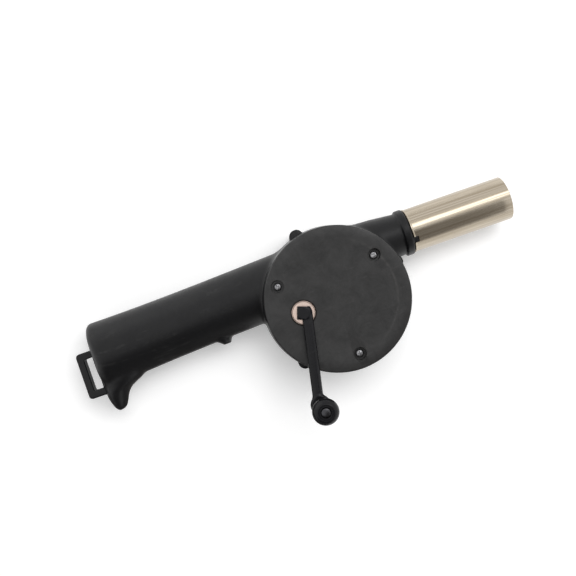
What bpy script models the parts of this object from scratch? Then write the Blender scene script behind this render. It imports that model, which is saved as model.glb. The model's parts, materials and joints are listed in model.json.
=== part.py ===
"""Hand-cranked barbecue blower.

Two moulded half shells hold a centrifugal fan, a two-stage gear train sits under a round
cover, and a crank with a turning knob drives it. A metal tube carries the air to the coals.

Frame: the origin is on the fan axis, in the plane that the blower lies on. +Z points to the
crank side, +X along the nozzle, and +Y to the side on which nozzle and handle are set off.
"""
import math

import bmesh
import bpy
from mathutils import Matrix, Vector

MM = 0.001

# Fits
GAP = 0.3 * MM                  # between pieces that seat on each other
RUN_GAP = 0.25 * MM             # radial play round a turning piece
EMBED = 0.6 * MM                # how far a boss or rib is sunk into the wall that it grows from
WELD_DISTANCE = 0.002 * MM
FLAT_ANGLE = math.radians(0.2)

# Gear train
MODULE = 0.8 * MM
PRESSURE_ANGLE = math.radians(20.0)
ADDENDUM = 0.9                  # in modules
DEDENDUM = 1.25                 # in modules
BACKLASH = 0.1 * MM             # taken off each tooth's thickness
CRANK_TEETH = 38
IDLER_PINION_TEETH = 12
IDLER_WHEEL_TEETH = 36
FAN_TEETH = 10
CRANK_SHIFT = 0.3               # profile shift of the first pair, in modules
FAN_SHIFT = 0.42                # profile shift of the second pair, in modules
CRANK_AXIS = Vector((-19.4 * MM, -1.0 * MM, 0.0))
GEAR_ROOM = 2.2 * MM            # from the outermost gear's tip to the wall
WHEEL_WIDTH = 3.0 * MM
CRANK_GEAR_WIDTH = 3.6 * MM
GEAR_STEP = 0.8 * MM            # height between the idler wheel and the crank gear
CRANK_WEB = 1.2 * MM            # floor of the crank gear's square socket
SHOULDER_H = 0.8 * MM
SHOULDER_R = 7.0 * MM

# Casing
WALL = 2.0 * MM
SPLIT_Z = 17.5 * MM             # parting plane of the two half shells
PARTITION_Z = 26.0 * MM         # underside of the plate between fan and gears
PARTITION_T = 2.5 * MM
BOSS_H = 0.7 * MM               # bosses round the axles, above the partition
CASE_DRAFT = 2.0 * MM           # how much wider the casing is at the parting plane
BACK_TAPER = 1.0 * MM
BACK_EDGE_R = 4.0 * MM

# Cover
COVER_T = 2.2 * MM
COVER_EDGE_R = 1.0 * MM
LIP_H = 1.6 * MM
LIP_T = 1.4 * MM
# Cover screws: angle, shift of the place from the posts' circle, turn of the screw's cross
COVER_SCREWS = ((149.5, 0.8 * MM, 25.0), (31.3, -1.4 * MM, 56.0), (-86.8, -0.4 * MM, 87.0))
COVER_BORE_R = 3.4 * MM         # counterbore that a screw head lies in
COVER_BORE_DEPTH = 3.9 * MM
COVER_BOSS_R = 4.4 * MM
COVER_BOSS_H = 2.7 * MM
POST_R = 2.6 * MM               # shell post that a cover screw bites into
POST_ROOM = 0.5 * MM            # between such a post and the crank gear
RIB_T = 1.6 * MM

# Screws
SCREW_R = 1.1 * MM
HEAD_R = 2.15 * MM
HEAD_H = 1.5 * MM
CROSS_W = 0.6 * MM
CROSS_L = 2.6 * MM
CROSS_DEPTH = 0.9 * MM
COVER_SCREW_L = 8.0 * MM
SHELL_SCREW_L = 17.0 * MM
HOLE_SPARE = 1.5 * MM           # depth left beyond a screw's tip
SHELL_SCREW_TURN = 17.0         # degrees from one shell screw's cross to the next

# Rim bosses of the screws that close the casing: angle, and inset of the centre from the rim
RIM_BOSSES = ((103.5, 1.2 * MM), (225.0, 3.0 * MM), (12.2, 2.7 * MM))
SHELL_BOSS_R = 4.0 * MM
RIM_BOSS_FOOT = 0.8 * MM
BOSS_ROOF = 2.0 * MM            # left over a rim boss's hole
HEAD_ROOM = 0.6 * MM            # round a shell screw's head
RIM_BORE_DEPTH = 7.0 * MM       # from the boss's foot to the seat of the head

# Air intake
INTAKE_SLOTS = 14
INTAKE_SLOT_W = 3.4 * MM
INTAKE_INNER_R = 12.5 * MM
INTAKE_LENGTH = 14.5 * MM

# Fan
VOLUTE_ROOM = 9.3 * MM          # from the blade tips to the casing's wall
BLADES = 12
BLADE_T = 1.3 * MM
BLADE_LENGTH = 17.0 * MM
BLADE_SWEEP = math.radians(24.0)
BLADE_ROOM = 2.6 * MM           # from the blades to the back wall
FAN_PLATE_T = 1.4 * MM
FAN_PLATE_ROOM = 0.6 * MM
FAN_HUB_R = 5.0 * MM

# Shafts and bushes
SHAFT_R = 1.5 * MM
SHAFT_SPARE = 1.2 * MM          # fan shaft beyond its pinion
BUSH_R = 3.5 * MM
CUP_WALL = 1.5 * MM
CUP_H = 4.5 * MM
FRONT_BUSH_DROP = 1.2 * MM      # front bush below the partition
IDLER_PIN_DROP = 0.8 * MM       # idler pin below the partition
IDLER_BOSS_R = 3.5 * MM
BLIND_WALL = 0.8 * MM           # floor under a blind hole
CRANK_BUSH_R = 6.0 * MM
CRANK_BUSH_FLANGE_R = 7.8 * MM
CRANK_BUSH_FLANGE_T = 1.7 * MM
CRANK_BUSH_SINK = 0.2 * MM      # bush's rim under the cover's face
CRANK_BUSH_LIP_T = 0.8 * MM     # inner lip at the rim, over the gear's hub
CRANK_HUB_R = 4.3 * MM
SQUARE = 4.4 * MM               # side of the crank's square shank
CRANK_SCREW_R = 1.0 * MM
CRANK_SCREW_L = 6.5 * MM
WASHER_R = 4.0 * MM
WASHER_T = 0.6 * MM

# Crank
CRANK_RADIUS = 49.2 * MM
ARM_ANGLE = math.radians(-97.0)
SQUARE_TURN = math.radians(-19.3)
HUB_SIDE = 7.0 * MM
HUB_RISE = 0.4 * MM             # crank's hub over the cover
HUB_H = 3.6 * MM
ARM_W = 5.7 * MM
ARM_H = 4.4 * MM
ARM_CHAMFER = 1.3 * MM
ARM_RISE = 1.0 * MM             # underside of the bar over the cover, at the hub
ARM_LIFT = 2.4 * MM             # how much higher the bar ends, at the knob
ARM_HUB_SHIFT = 1.7 * MM        # bar's middle beside the line from hub to knob, at the hub
ARM_KNOB_SHIFT = -2.4 * MM      # and at the knob
ARM_ROOT_L = 2.8 * MM           # bar's end behind the hub's axis
ARM_ROOT_W = 3.4 * MM
ARM_ROOT_TAPER = 1.8 * MM
ARM_END_R = 5.3 * MM            # round end under the knob
ARM_END_BACK = 0.8 * MM         # its middle before the knob's axis
ARM_END_SHIFT = -1.5 * MM       # and beside it
KNOB_H = 19.7 * MM
KNOB_R = 6.8 * MM
KNOB_PIN_R = 1.6 * MM
KNOB_PIN_HEAD_R = 2.5 * MM
KNOB_PIN_HEAD_H = 1.0 * MM
KNOB_SINK = 1.6 * MM            # depth of the recess for the pin's head

# Handle
HANDLE_ROOT_X = -50.0 * MM
HANDLE_END_X = -137.0 * MM
HANDLE_ROOT_Y = 16.6 * MM
HANDLE_END_Y = 12.9 * MM
HANDLE_ROOT_HALF = 17.3 * MM
HANDLE_END_HALF = 18.9 * MM
HANDLE_FLARE = 2.7              # how late the handle widens
HANDLE_STATIONS = 6
NOSE_LENGTH = 8.0 * MM          # rounding of the handle's end
NOSE_TOP = 10.0 * MM            # how far its top and underside draw in
NOSE_SIDE_R = 3.0 * MM          # rounding at its sides
NOSE_STEPS = 5
HANDLE_SCREWS_X = (-58.0 * MM, -112.0 * MM)
HANDLE_BORE_DEPTH = 9.0 * MM

# Finger stop on the handle
STOP_X = -66.8 * MM
STOP_FOOT_HALF = 6.5 * MM
STOP_TIP_HALF = 2.1 * MM
STOP_TIP_SHIFT = 1.7 * MM
STOP_PROUD = 2.8 * MM
STOP_HALF_Z = 8.0 * MM

# Pommel hook, from inside the handle to its tip: depth below the handle's axis, distance of
# the hook's two sides from the handle's end, and half height
HOOK_SECTIONS = (
    (9.0 * MM, 0.6 * MM, 26.0 * MM, 13.0 * MM),
    (15.4 * MM, -1.2 * MM, 24.0 * MM, 11.9 * MM),
    (18.4 * MM, -1.5 * MM, 20.5 * MM, 11.0 * MM),
    (20.2 * MM, -1.5 * MM, 16.6 * MM, 10.4 * MM),
    (22.2 * MM, -1.3 * MM, 12.8 * MM, 9.6 * MM),
    (25.0 * MM, -0.9 * MM, 10.2 * MM, 8.5 * MM),
    (28.9 * MM, 0.1 * MM, 8.2 * MM, 6.6 * MM),
    (31.5 * MM, 1.3 * MM, 6.6 * MM, 4.4 * MM),
    (32.6 * MM, 2.6 * MM, 4.6 * MM, 2.0 * MM),
)

# Lanyard loop at the handle's end
LOOP_T = 6.0 * MM
LOOP_REACH = 11.0 * MM
LOOP_LOW_Y = -8.8 * MM
LOOP_HIGH_Y = 17.5 * MM
LOOP_BAR = 4.0 * MM
LOOP_SIDE = 4.1 * MM
LOOP_WEB = 1.5 * MM
LOOP_CORNER_R = 2.2 * MM
SLOT_CORNER_R = 0.6 * MM

# Nozzle
NOZZLE_Y = 22.0 * MM
TUBE_R = 12.25 * MM
TUBE_T = 0.5 * MM
TUBE_LENGTH = 57.3 * MM
TUBE_LIP = 0.3 * MM
TUBE_LIP_W = 0.8 * MM
COLLAR_X = 46.5 * MM
COLLAR_W = 4.4 * MM
COLLAR_STEP = 0.85 * MM         # how far the collar stands out round the tube
COLLAR_EDGE = 0.8 * MM
SPIGOT_L = 11.0 * MM
SPIGOT_T = 1.85 * MM
NECK_ROOT_X = 15.0 * MM
NECK_ROOT_R = 14.2 * MM
NECK_MID_X = 33.0 * MM
NECK_MID_R = 13.2 * MM
NECK_END_R = 11.8 * MM
LUG_ANGLE = math.radians(119.0)  # round the nozzle, from +Y towards +Z
LUG_L = 2.8 * MM
LUG_SIDE = 3.0 * MM
LUG_SINK = 0.15 * MM            # lug under the tube's outer face

# Facets
ROUND_LARGE = 60
ROUND_MEDIUM = 32
ROUND_FIT = 20                  # where one round piece turns in another
ROUND_OVAL = 16
ROUND_SMALL = 12


# Values worked out from the driving ones

def pitch_radius(teeth):
    return MODULE * teeth / 2


def tip_radius(teeth, shift):
    return MODULE * (teeth / 2 + ADDENDUM + shift)


def circle_meeting(centre_a, radius_a, centre_b, radius_b):
    """The point at radius_a from centre_a and radius_b from centre_b that lies towards +Y."""
    across = centre_b - centre_a
    distance = across.length
    along = (radius_a ** 2 - radius_b ** 2 + distance ** 2) / (2 * distance)
    height = math.sqrt(radius_a ** 2 - along ** 2)
    unit = across / distance
    side = Vector((-unit.y, unit.x, 0))
    points = [centre_a + unit * along + side * height * sign for sign in (1, -1)]
    return max(points, key=lambda p: p.y)


def polar(radius, degrees):
    a = math.radians(degrees)
    return Vector((radius * math.cos(a), radius * math.sin(a), 0))


def post_radius(degrees):
    """Least distance from the fan axis at which a screw post clears the crank gear."""
    reach = CRANK_TIP_R + POST_ROOM + POST_R
    along = polar(1, degrees).dot(CRANK_AXIS)
    height = along ** 2 + reach ** 2 - CRANK_AXIS.length_squared
    return along + math.sqrt(height) if height > 0 else 0.0


def post_place(degrees, shift):
    return polar(max(POST_CIRCLE_R + shift, post_radius(degrees)), degrees)


FAN_AXIS = Vector((0, 0, 0))
CRANK_TIP_R = tip_radius(CRANK_TEETH, -CRANK_SHIFT)
WHEEL_TIP_R = tip_radius(IDLER_WHEEL_TEETH, -FAN_SHIFT)
IDLER_AXIS = circle_meeting(
    FAN_AXIS, pitch_radius(IDLER_WHEEL_TEETH + FAN_TEETH),
    CRANK_AXIS, pitch_radius(CRANK_TEETH + IDLER_PINION_TEETH))
POST_CIRCLE_R = max(post_radius(angle) for angle, _, _ in COVER_SCREWS)
GEAR_REACH = max(CRANK_AXIS.length + CRANK_TIP_R, IDLER_AXIS.length + WHEEL_TIP_R)
GEAR_ROOM_R = GEAR_REACH + GEAR_ROOM
COVER_R = GEAR_ROOM_R + WALL
CASE_R = COVER_R + CASE_DRAFT
FAN_ROOM_R = CASE_R - WALL
FAN_R = FAN_ROOM_R - VOLUTE_ROOM

PARTITION_TOP = PARTITION_Z + PARTITION_T
BOSS_TOP = PARTITION_TOP + BOSS_H
WHEEL_Z = BOSS_TOP + GAP
WHEEL_TOP = WHEEL_Z + WHEEL_WIDTH
CRANK_GEAR_Z = WHEEL_TOP + GEAR_STEP
CRANK_GEAR_TOP = CRANK_GEAR_Z + CRANK_GEAR_WIDTH
SHOULDER_TOP = CRANK_GEAR_TOP + SHOULDER_H
BUSH_FLANGE_Z = SHOULDER_TOP + GAP
COVER_Z = BUSH_FLANGE_Z + CRANK_BUSH_FLANGE_T + GAP
COVER_TOP = COVER_Z + COVER_T
CASE_TOP = COVER_Z - GAP
CRANK_BUSH_TOP = COVER_TOP - CRANK_BUSH_SINK
CRANK_HUB_TOP = CRANK_BUSH_TOP - CRANK_BUSH_LIP_T - GAP
COVER_BOSS_Z = COVER_Z - COVER_BOSS_H
IDLER_PINION_TOP = CRANK_GEAR_TOP + GAP
IDLER_SEAT_Z = IDLER_PINION_TOP + GAP
SCREW_HOLE_R = SCREW_R + GAP
SHELL_BORE_R = HEAD_R + HEAD_ROOM
IDLER_PIN_Z = PARTITION_Z - IDLER_PIN_DROP
IDLER_HOLE_Z = IDLER_PIN_Z - GAP
IDLER_BOSS_Z = IDLER_HOLE_Z - BLIND_WALL
IDLER_PIN_TOP = COVER_TOP - BLIND_WALL - GAP
FRONT_BUSH_Z = PARTITION_Z - FRONT_BUSH_DROP
BUSH_BORE_R = SHAFT_R + RUN_GAP
CUP_BORE_R = BUSH_R + GAP
CUP_R = CUP_BORE_R + CUP_WALL
REAR_BUSH_Z = WALL + GAP
REAR_BUSH_TOP = WALL + CUP_H + GAP
FAN_PLATE_TOP = IDLER_BOSS_Z - FAN_PLATE_ROOM
FAN_PLATE_Z = FAN_PLATE_TOP - FAN_PLATE_T
FAN_PINION_TOP = WHEEL_TOP + GAP
SHAFT_TOP = FAN_PINION_TOP + SHAFT_SPARE
HUB_Z = COVER_TOP + HUB_RISE
ARM_HUB_Z = COVER_TOP + ARM_RISE + ARM_H / 2
ARM_KNOB_Z = ARM_HUB_Z + ARM_LIFT
ARM_END_Z = ARM_KNOB_Z - ARM_H / 2
ARM_END_TOP = ARM_KNOB_Z + ARM_H / 2
KNOB_Z = ARM_END_TOP + GAP
KNOB_TOP = KNOB_Z + KNOB_H
SHANK_Z = CRANK_GEAR_Z + CRANK_WEB + GAP
WASHER_Z = CRANK_GEAR_Z - GAP - WASHER_T
CRANK_SCREW_Z = WASHER_Z - GAP
SPIGOT_R = TUBE_R - TUBE_T - GAP
DUCT_R = SPIGOT_R - SPIGOT_T
COLLAR_R = TUBE_R + COLLAR_STEP
COLLAR_FACE_X = COLLAR_X + COLLAR_W
TUBE_X = COLLAR_FACE_X + GAP
TUBE_END_X = TUBE_X + TUBE_LENGTH
KNOB_AXIS = CRANK_AXIS + CRANK_RADIUS * Vector((math.cos(ARM_ANGLE), math.sin(ARM_ANGLE), 0))


# Mesh tools

def new_object(name, mesh):
    obj = bpy.data.objects.new(name, mesh)
    bpy.context.scene.collection.objects.link(obj)
    return obj


def from_bmesh(name, bm):
    bmesh.ops.recalc_face_normals(bm, faces=bm.faces)
    mesh = bpy.data.meshes.new(name)
    bm.to_mesh(mesh)
    bm.free()
    return new_object(name, mesh)


def lofted(name, rings):
    """A closed solid through rings of equally many points, with a flat cap at each end."""
    bm = bmesh.new()
    loops = [[bm.verts.new(point) for point in ring] for ring in rings]
    for lower, upper in zip(loops, loops[1:]):
        for i in range(len(lower)):
            j = (i + 1) % len(lower)
            bm.faces.new((lower[i], lower[j], upper[j], upper[i]))
    bm.faces.new(list(reversed(loops[0])))
    bm.faces.new(loops[-1])
    return from_bmesh(name, bm)


def turned(name, profile, count, centre=(0, 0)):
    """A solid turned round a vertical axis. The profile is a closed loop of (radius, z), or
    an open one whose first and last radius is zero."""
    bm = bmesh.new()
    columns = []
    for radius, z in profile:
        steps = range(count if radius > 0 else 1)
        angles = [2 * math.pi * i / count for i in steps]
        columns.append([bm.verts.new((centre[0] + radius * math.cos(a),
                                      centre[1] + radius * math.sin(a), z)) for a in angles])
    pairs = list(zip(columns, columns[1:]))
    if profile[0][0] > 0:
        pairs.append((columns[-1], columns[0]))
    for first, second in pairs:
        for i in range(count):
            j = (i + 1) % count
            corners = (first[i % len(first)], first[j % len(first)],
                       second[j % len(second)], second[i % len(second)])
            bm.faces.new(list(dict.fromkeys(corners)))
    return from_bmesh(name, bm)


def cylinder(name, radius, z0, z1, count=ROUND_SMALL, centre=(0, 0)):
    return turned(name, [(0, z0), (radius, z0), (radius, z1), (0, z1)], count, centre)


def tube(name, outer, inner, z0, z1):
    profile = [(outer, z0), (outer, z1), (inner, z1), (inner, z0)]
    return turned(name, profile, ROUND_FIT)


def extruded(name, outline, z0, z1):
    return lofted(name, [[(x, y, z) for x, y in outline] for z in (z0, z1)])


def block(name, low, high):
    outline = [(low[0], low[1]), (high[0], low[1]), (high[0], high[1]), (low[0], high[1])]
    return extruded(name, outline, low[2], high[2])


def rounded_rectangle(x0, x1, y0, y1, radius, steps=4):
    middles = ((x1 - radius, y1 - radius), (x0 + radius, y1 - radius),
               (x0 + radius, y0 + radius), (x1 - radius, y0 + radius))
    points = []
    for quarter, (cx, cy) in enumerate(middles):
        for i in range(steps + 1):
            a = (quarter + i / steps) * math.pi / 2
            points.append((cx + radius * math.cos(a), cy + radius * math.sin(a)))
    return points


def turn_z(obj, angle):
    obj.data.transform(Matrix.Rotation(angle, 4, "Z"))
    return obj


def gather(name, objects):
    """One object from several that don't touch each other."""
    bm = bmesh.new()
    for obj in objects:
        bm.from_mesh(obj.data)
        bpy.data.objects.remove(obj)
    return from_bmesh(name, bm)


def tidy(mesh):
    """Close the hairline seams that a boolean leaves, and join the flat faces it split."""
    bm = bmesh.new()
    bm.from_mesh(mesh)
    bmesh.ops.remove_doubles(bm, verts=bm.verts, dist=WELD_DISTANCE)
    bmesh.ops.dissolve_degenerate(bm, edges=bm.edges, dist=WELD_DISTANCE)
    bmesh.ops.dissolve_limit(bm, angle_limit=FLAT_ANGLE, verts=bm.verts, edges=bm.edges)
    bm.to_mesh(mesh)
    bm.free()


def combine(target, tool, operation):
    """Apply a boolean of tool to target, and remove the tool."""
    modifier = target.modifiers.new(operation.lower(), "BOOLEAN")
    modifier.operation = operation
    modifier.solver = "EXACT"
    modifier.object = tool
    graph = bpy.context.evaluated_depsgraph_get()
    mesh = bpy.data.meshes.new_from_object(target.evaluated_get(graph))
    target.modifiers.clear()
    tidy(mesh)
    target.data = mesh
    bpy.data.objects.remove(tool)
    return target


def fuse(target, *tools):
    for tool in tools:
        combine(target, tool, "UNION")
    return target


def cut(target, *tools):
    for tool in tools:
        combine(target, tool, "DIFFERENCE")
    return target


# Materials and nodes

def material(name, colour, roughness, metallic=0.0):
    mat = bpy.data.materials.new(name)
    mat.use_nodes = True
    shader = mat.node_tree.nodes["Principled BSDF"]
    shader.inputs["Base Color"].default_value = (*colour, 1.0)
    shader.inputs["Roughness"].default_value = roughness
    shader.inputs["Metallic"].default_value = metallic
    mat.diffuse_color = (*colour, 1.0)
    return mat


def finish(obj, name, mat, axis=None, smooth_degrees=30.0):
    """Name a piece, give it its own material and hang it on its axis, if it turns."""
    obj.name = name
    obj.data.name = name
    obj.data.materials.clear()
    obj.data.materials.append(mat.copy())
    obj.data.materials[0].name = name
    obj.data.shade_smooth()
    obj.data.set_sharp_from_angle(angle=math.radians(smooth_degrees))
    obj.parent = axis
    return obj


def axis_empty(name, place):
    empty = bpy.data.objects.new(name, None)
    empty.location = place
    bpy.context.scene.collection.objects.link(empty)
    return empty


# Outside of casing, handle and nozzle

def case_radius(z):
    """Outer radius of the casing at a height."""
    if z >= SPLIT_Z:
        return CASE_R - CASE_DRAFT * (z - SPLIT_Z) / (CASE_TOP - SPLIT_Z)
    return CASE_R - BACK_TAPER * (SPLIT_Z - z) / (SPLIT_Z - BACK_EDGE_R)


def round_foot(radius, z, edge_radius, steps):
    """Quarter round from the side of a disc down to its lower face at z."""
    points = []
    for i in range(steps + 1):
        a = i / steps * math.pi / 2
        points.append((radius - edge_radius * (1 - math.cos(a)),
                       z + edge_radius * (1 - math.sin(a))))
    return points


def case_outside():
    foot = round_foot(case_radius(BACK_EDGE_R), 0, BACK_EDGE_R, 3)
    profile = [(0, CASE_TOP), (case_radius(CASE_TOP), CASE_TOP), (CASE_R, SPLIT_Z)]
    return turned("case_outside", profile + foot + [(0, 0)], ROUND_LARGE)


def fan_room():
    foot = round_foot(case_radius(BACK_EDGE_R) - WALL, WALL, BACK_EDGE_R - WALL, 2)
    profile = [(0, PARTITION_Z), (case_radius(PARTITION_Z) - WALL, PARTITION_Z),
               (FAN_ROOM_R, SPLIT_Z)]
    return turned("fan_room", profile + foot + [(0, WALL)], ROUND_LARGE)


def gear_room():
    return cylinder("gear_room", GEAR_ROOM_R, PARTITION_TOP, COVER_TOP, ROUND_LARGE)


def handle_middle(x):
    t = (HANDLE_ROOT_X - x) / (HANDLE_ROOT_X - HANDLE_END_X)
    return HANDLE_ROOT_Y + (HANDLE_END_Y - HANDLE_ROOT_Y) * t


def handle_half(x):
    t = max((HANDLE_ROOT_X - x) / (HANDLE_ROOT_X - HANDLE_END_X), 0.0)
    return HANDLE_ROOT_HALF + (HANDLE_END_HALF - HANDLE_ROOT_HALF) * t ** HANDLE_FLARE


def handle_ring(x, side_inset, top_inset):
    half_y = handle_half(x) - side_inset
    half_z = SPLIT_Z - top_inset
    angles = [2 * math.pi * i / ROUND_MEDIUM for i in range(ROUND_MEDIUM)]
    return [(x, handle_middle(x) + half_y * math.cos(a), SPLIT_Z + half_z * math.sin(a))
            for a in angles]


def nose_inset(distance, length, drop):
    """How far an outline draws in at a distance before its end, along a quarter ellipse."""
    t = 1 - distance / length
    return drop * (1 - math.sqrt(1 - t * t)) if t > 0 else 0.0


def handle_body(name, inset):
    """The handle's outside, or its hollow when it is inset by the wall."""
    end, length = HANDLE_END_X + inset, NOSE_LENGTH - inset
    rings = [handle_ring(-(CASE_R - 4 * WALL) / 2, inset, inset)]
    for i in range(HANDLE_STATIONS):
        t = i / (HANDLE_STATIONS - 1)
        rings.append(handle_ring(HANDLE_ROOT_X + (end + length - HANDLE_ROOT_X) * t, inset,
                                 inset))
    for i in range(1, NOSE_STEPS + 1):
        distance = length * (1 - math.sin(i / NOSE_STEPS * math.pi / 2))
        rings.append(handle_ring(end + distance,
                                 inset + nose_inset(distance, NOSE_SIDE_R, NOSE_SIDE_R),
                                 inset + nose_inset(distance, length, NOSE_TOP)))
    return lofted(name, rings)


def oval_ring(x0, x1, y, half_z):
    middle = (x0 + x1) / 2
    half = (x1 - x0) / 2
    angles = [2 * math.pi * i / ROUND_OVAL for i in range(ROUND_OVAL)]
    return [(middle + half * math.cos(a), y, SPLIT_Z + half_z * math.sin(a)) for a in angles]


def hook():
    rings = [oval_ring(HANDLE_END_X + back, HANDLE_END_X + front, HANDLE_END_Y - depth, half_z)
             for depth, back, front, half_z in HOOK_SECTIONS]
    return lofted("hook", rings)


def finger_stop():
    foot_y = handle_middle(STOP_X) - handle_half(STOP_X) + WALL
    tip_y = foot_y - WALL - STOP_PROUD
    steps = 6
    rings = []
    for i in range(steps + 1):
        t = i / steps
        swell = math.sqrt(1 - t * t)
        half_x = STOP_TIP_HALF + (STOP_FOOT_HALF - STOP_TIP_HALF) * (1 - t) * (0.5 + swell / 2)
        middle = STOP_X + STOP_TIP_SHIFT * t
        half_z = STOP_HALF_Z * (0.4 + 0.6 * swell)
        rings.append(oval_ring(middle - half_x, middle + half_x,
                               foot_y + (tip_y - foot_y) * t, half_z))
    return lofted("finger_stop", rings)


def loop_plate():
    outline = rounded_rectangle(HANDLE_END_X - LOOP_REACH, HANDLE_END_X + WALL - EMBED,
                                LOOP_LOW_Y, LOOP_HIGH_Y, LOOP_CORNER_R)
    return extruded("loop", outline, SPLIT_Z - LOOP_T / 2, SPLIT_Z + LOOP_T / 2)


def loop_slot():
    outline = rounded_rectangle(
        HANDLE_END_X - LOOP_REACH + LOOP_BAR, HANDLE_END_X - LOOP_WEB,
        LOOP_LOW_Y + LOOP_SIDE, LOOP_HIGH_Y - LOOP_SIDE, SLOT_CORNER_R, 2)
    return extruded("loop_slot", outline, SPLIT_Z - LOOP_T, SPLIT_Z + LOOP_T)


def along_nozzle(obj):
    """Lay a solid that was turned round the vertical axis along the nozzle."""
    lay = Matrix(((0, 0, 1, 0), (1, 0, 0, NOZZLE_Y), (0, 1, 0, SPLIT_Z), (0, 0, 0, 1)))
    obj.data.transform(lay)
    return obj


def nozzle_outside():
    profile = [
        (0, NECK_ROOT_X), (NECK_ROOT_R, NECK_ROOT_X), (NECK_MID_R, NECK_MID_X),
        (NECK_END_R, COLLAR_X), (COLLAR_R - COLLAR_EDGE, COLLAR_X),
        (COLLAR_R, COLLAR_X + COLLAR_EDGE), (COLLAR_R, COLLAR_FACE_X - COLLAR_EDGE),
        (COLLAR_R - COLLAR_EDGE, COLLAR_FACE_X), (SPIGOT_R, COLLAR_FACE_X),
        (SPIGOT_R, COLLAR_FACE_X + SPIGOT_L), (0, COLLAR_FACE_X + SPIGOT_L)]
    return along_nozzle(turned("nozzle_outside", profile, ROUND_MEDIUM))


def duct():
    return along_nozzle(cylinder("duct", DUCT_R, NECK_ROOT_X + WALL,
                                 COLLAR_FACE_X + SPIGOT_L + WALL, ROUND_MEDIUM))


def lug_block(name, top_r, spare):
    """The lug that keys the tube to the nozzle, or the notch for it when spare is a gap."""
    half = LUG_SIDE / 2 + spare
    obj = block(name, (SPIGOT_R - EMBED, -half, COLLAR_FACE_X - EMBED),
                (top_r, half, COLLAR_FACE_X + LUG_L + spare))
    return along_nozzle(turn_z(obj, LUG_ANGLE))


def shell_screws():
    """Where the shells are screwed together: place, foot of the boss, seat of the head."""
    rim = [(polar(CASE_R - inset, angle), RIM_BOSS_FOOT, RIM_BOSS_FOOT + RIM_BORE_DEPTH)
           for angle, inset in RIM_BOSSES]
    grip = [(Vector((x, handle_middle(x), 0)), WALL - EMBED, HANDLE_BORE_DEPTH)
            for x in HANDLE_SCREWS_X]
    return rim + grip


def body_outside():
    """Casing, handle, hook, finger stop, loop and nozzle in one solid, not yet split."""
    handle = fuse(handle_body("handle_outside", 0.0), hook(), finger_stop(), loop_plate())
    cut(handle, loop_slot())
    return fuse(case_outside(), handle, nozzle_outside())


def half_of(body, name, z0, z1):
    half = new_object(name, body.data.copy())
    reach = TUBE_END_X - HANDLE_END_X
    combine(half, block("half_space", (-reach, -reach, z0), (reach, reach, z1)), "INTERSECT")
    handle_room = cut(handle_body("handle_room", WALL), case_outside())
    return cut(half, fan_room(), handle_room, duct())


# Shells and cover

def intake_slots():
    half = INTAKE_SLOT_W / 2
    outline = rounded_rectangle(INTAKE_INNER_R, INTAKE_INNER_R + INTAKE_LENGTH, -half, half,
                                half * 0.96, 2)
    slots = [turn_z(extruded("slot", outline, -WALL, 1.5 * WALL), 2 * math.pi * i / INTAKE_SLOTS)
             for i in range(INTAKE_SLOTS)]
    return gather("intake_slots", slots)


def back_shell(body):
    top = SPLIT_Z - GAP / 2
    shell = half_of(body, "back_shell", -SPLIT_Z, top)
    bosses = [cylinder("boss", SHELL_BOSS_R, foot, top, ROUND_SMALL, place)
              for place, foot, seat in shell_screws()]
    bores = [turned("bore", [(0, -WALL), (SHELL_BORE_R, -WALL), (SHELL_BORE_R, seat),
                             (SCREW_HOLE_R, seat), (SCREW_HOLE_R, SPLIT_Z + WALL),
                             (0, SPLIT_Z + WALL)], ROUND_SMALL, place)
             for place, foot, seat in shell_screws()]
    cup = cylinder("cup", CUP_R, WALL - EMBED, WALL + CUP_H, ROUND_FIT)
    fuse(shell, gather("bosses", bosses + [cup]))
    cup_bore = cylinder("cup_bore", CUP_BORE_R, WALL, WALL + 2 * CUP_H, ROUND_FIT)
    return cut(shell, gather("bores", bores + [cup_bore]), intake_slots())


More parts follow.
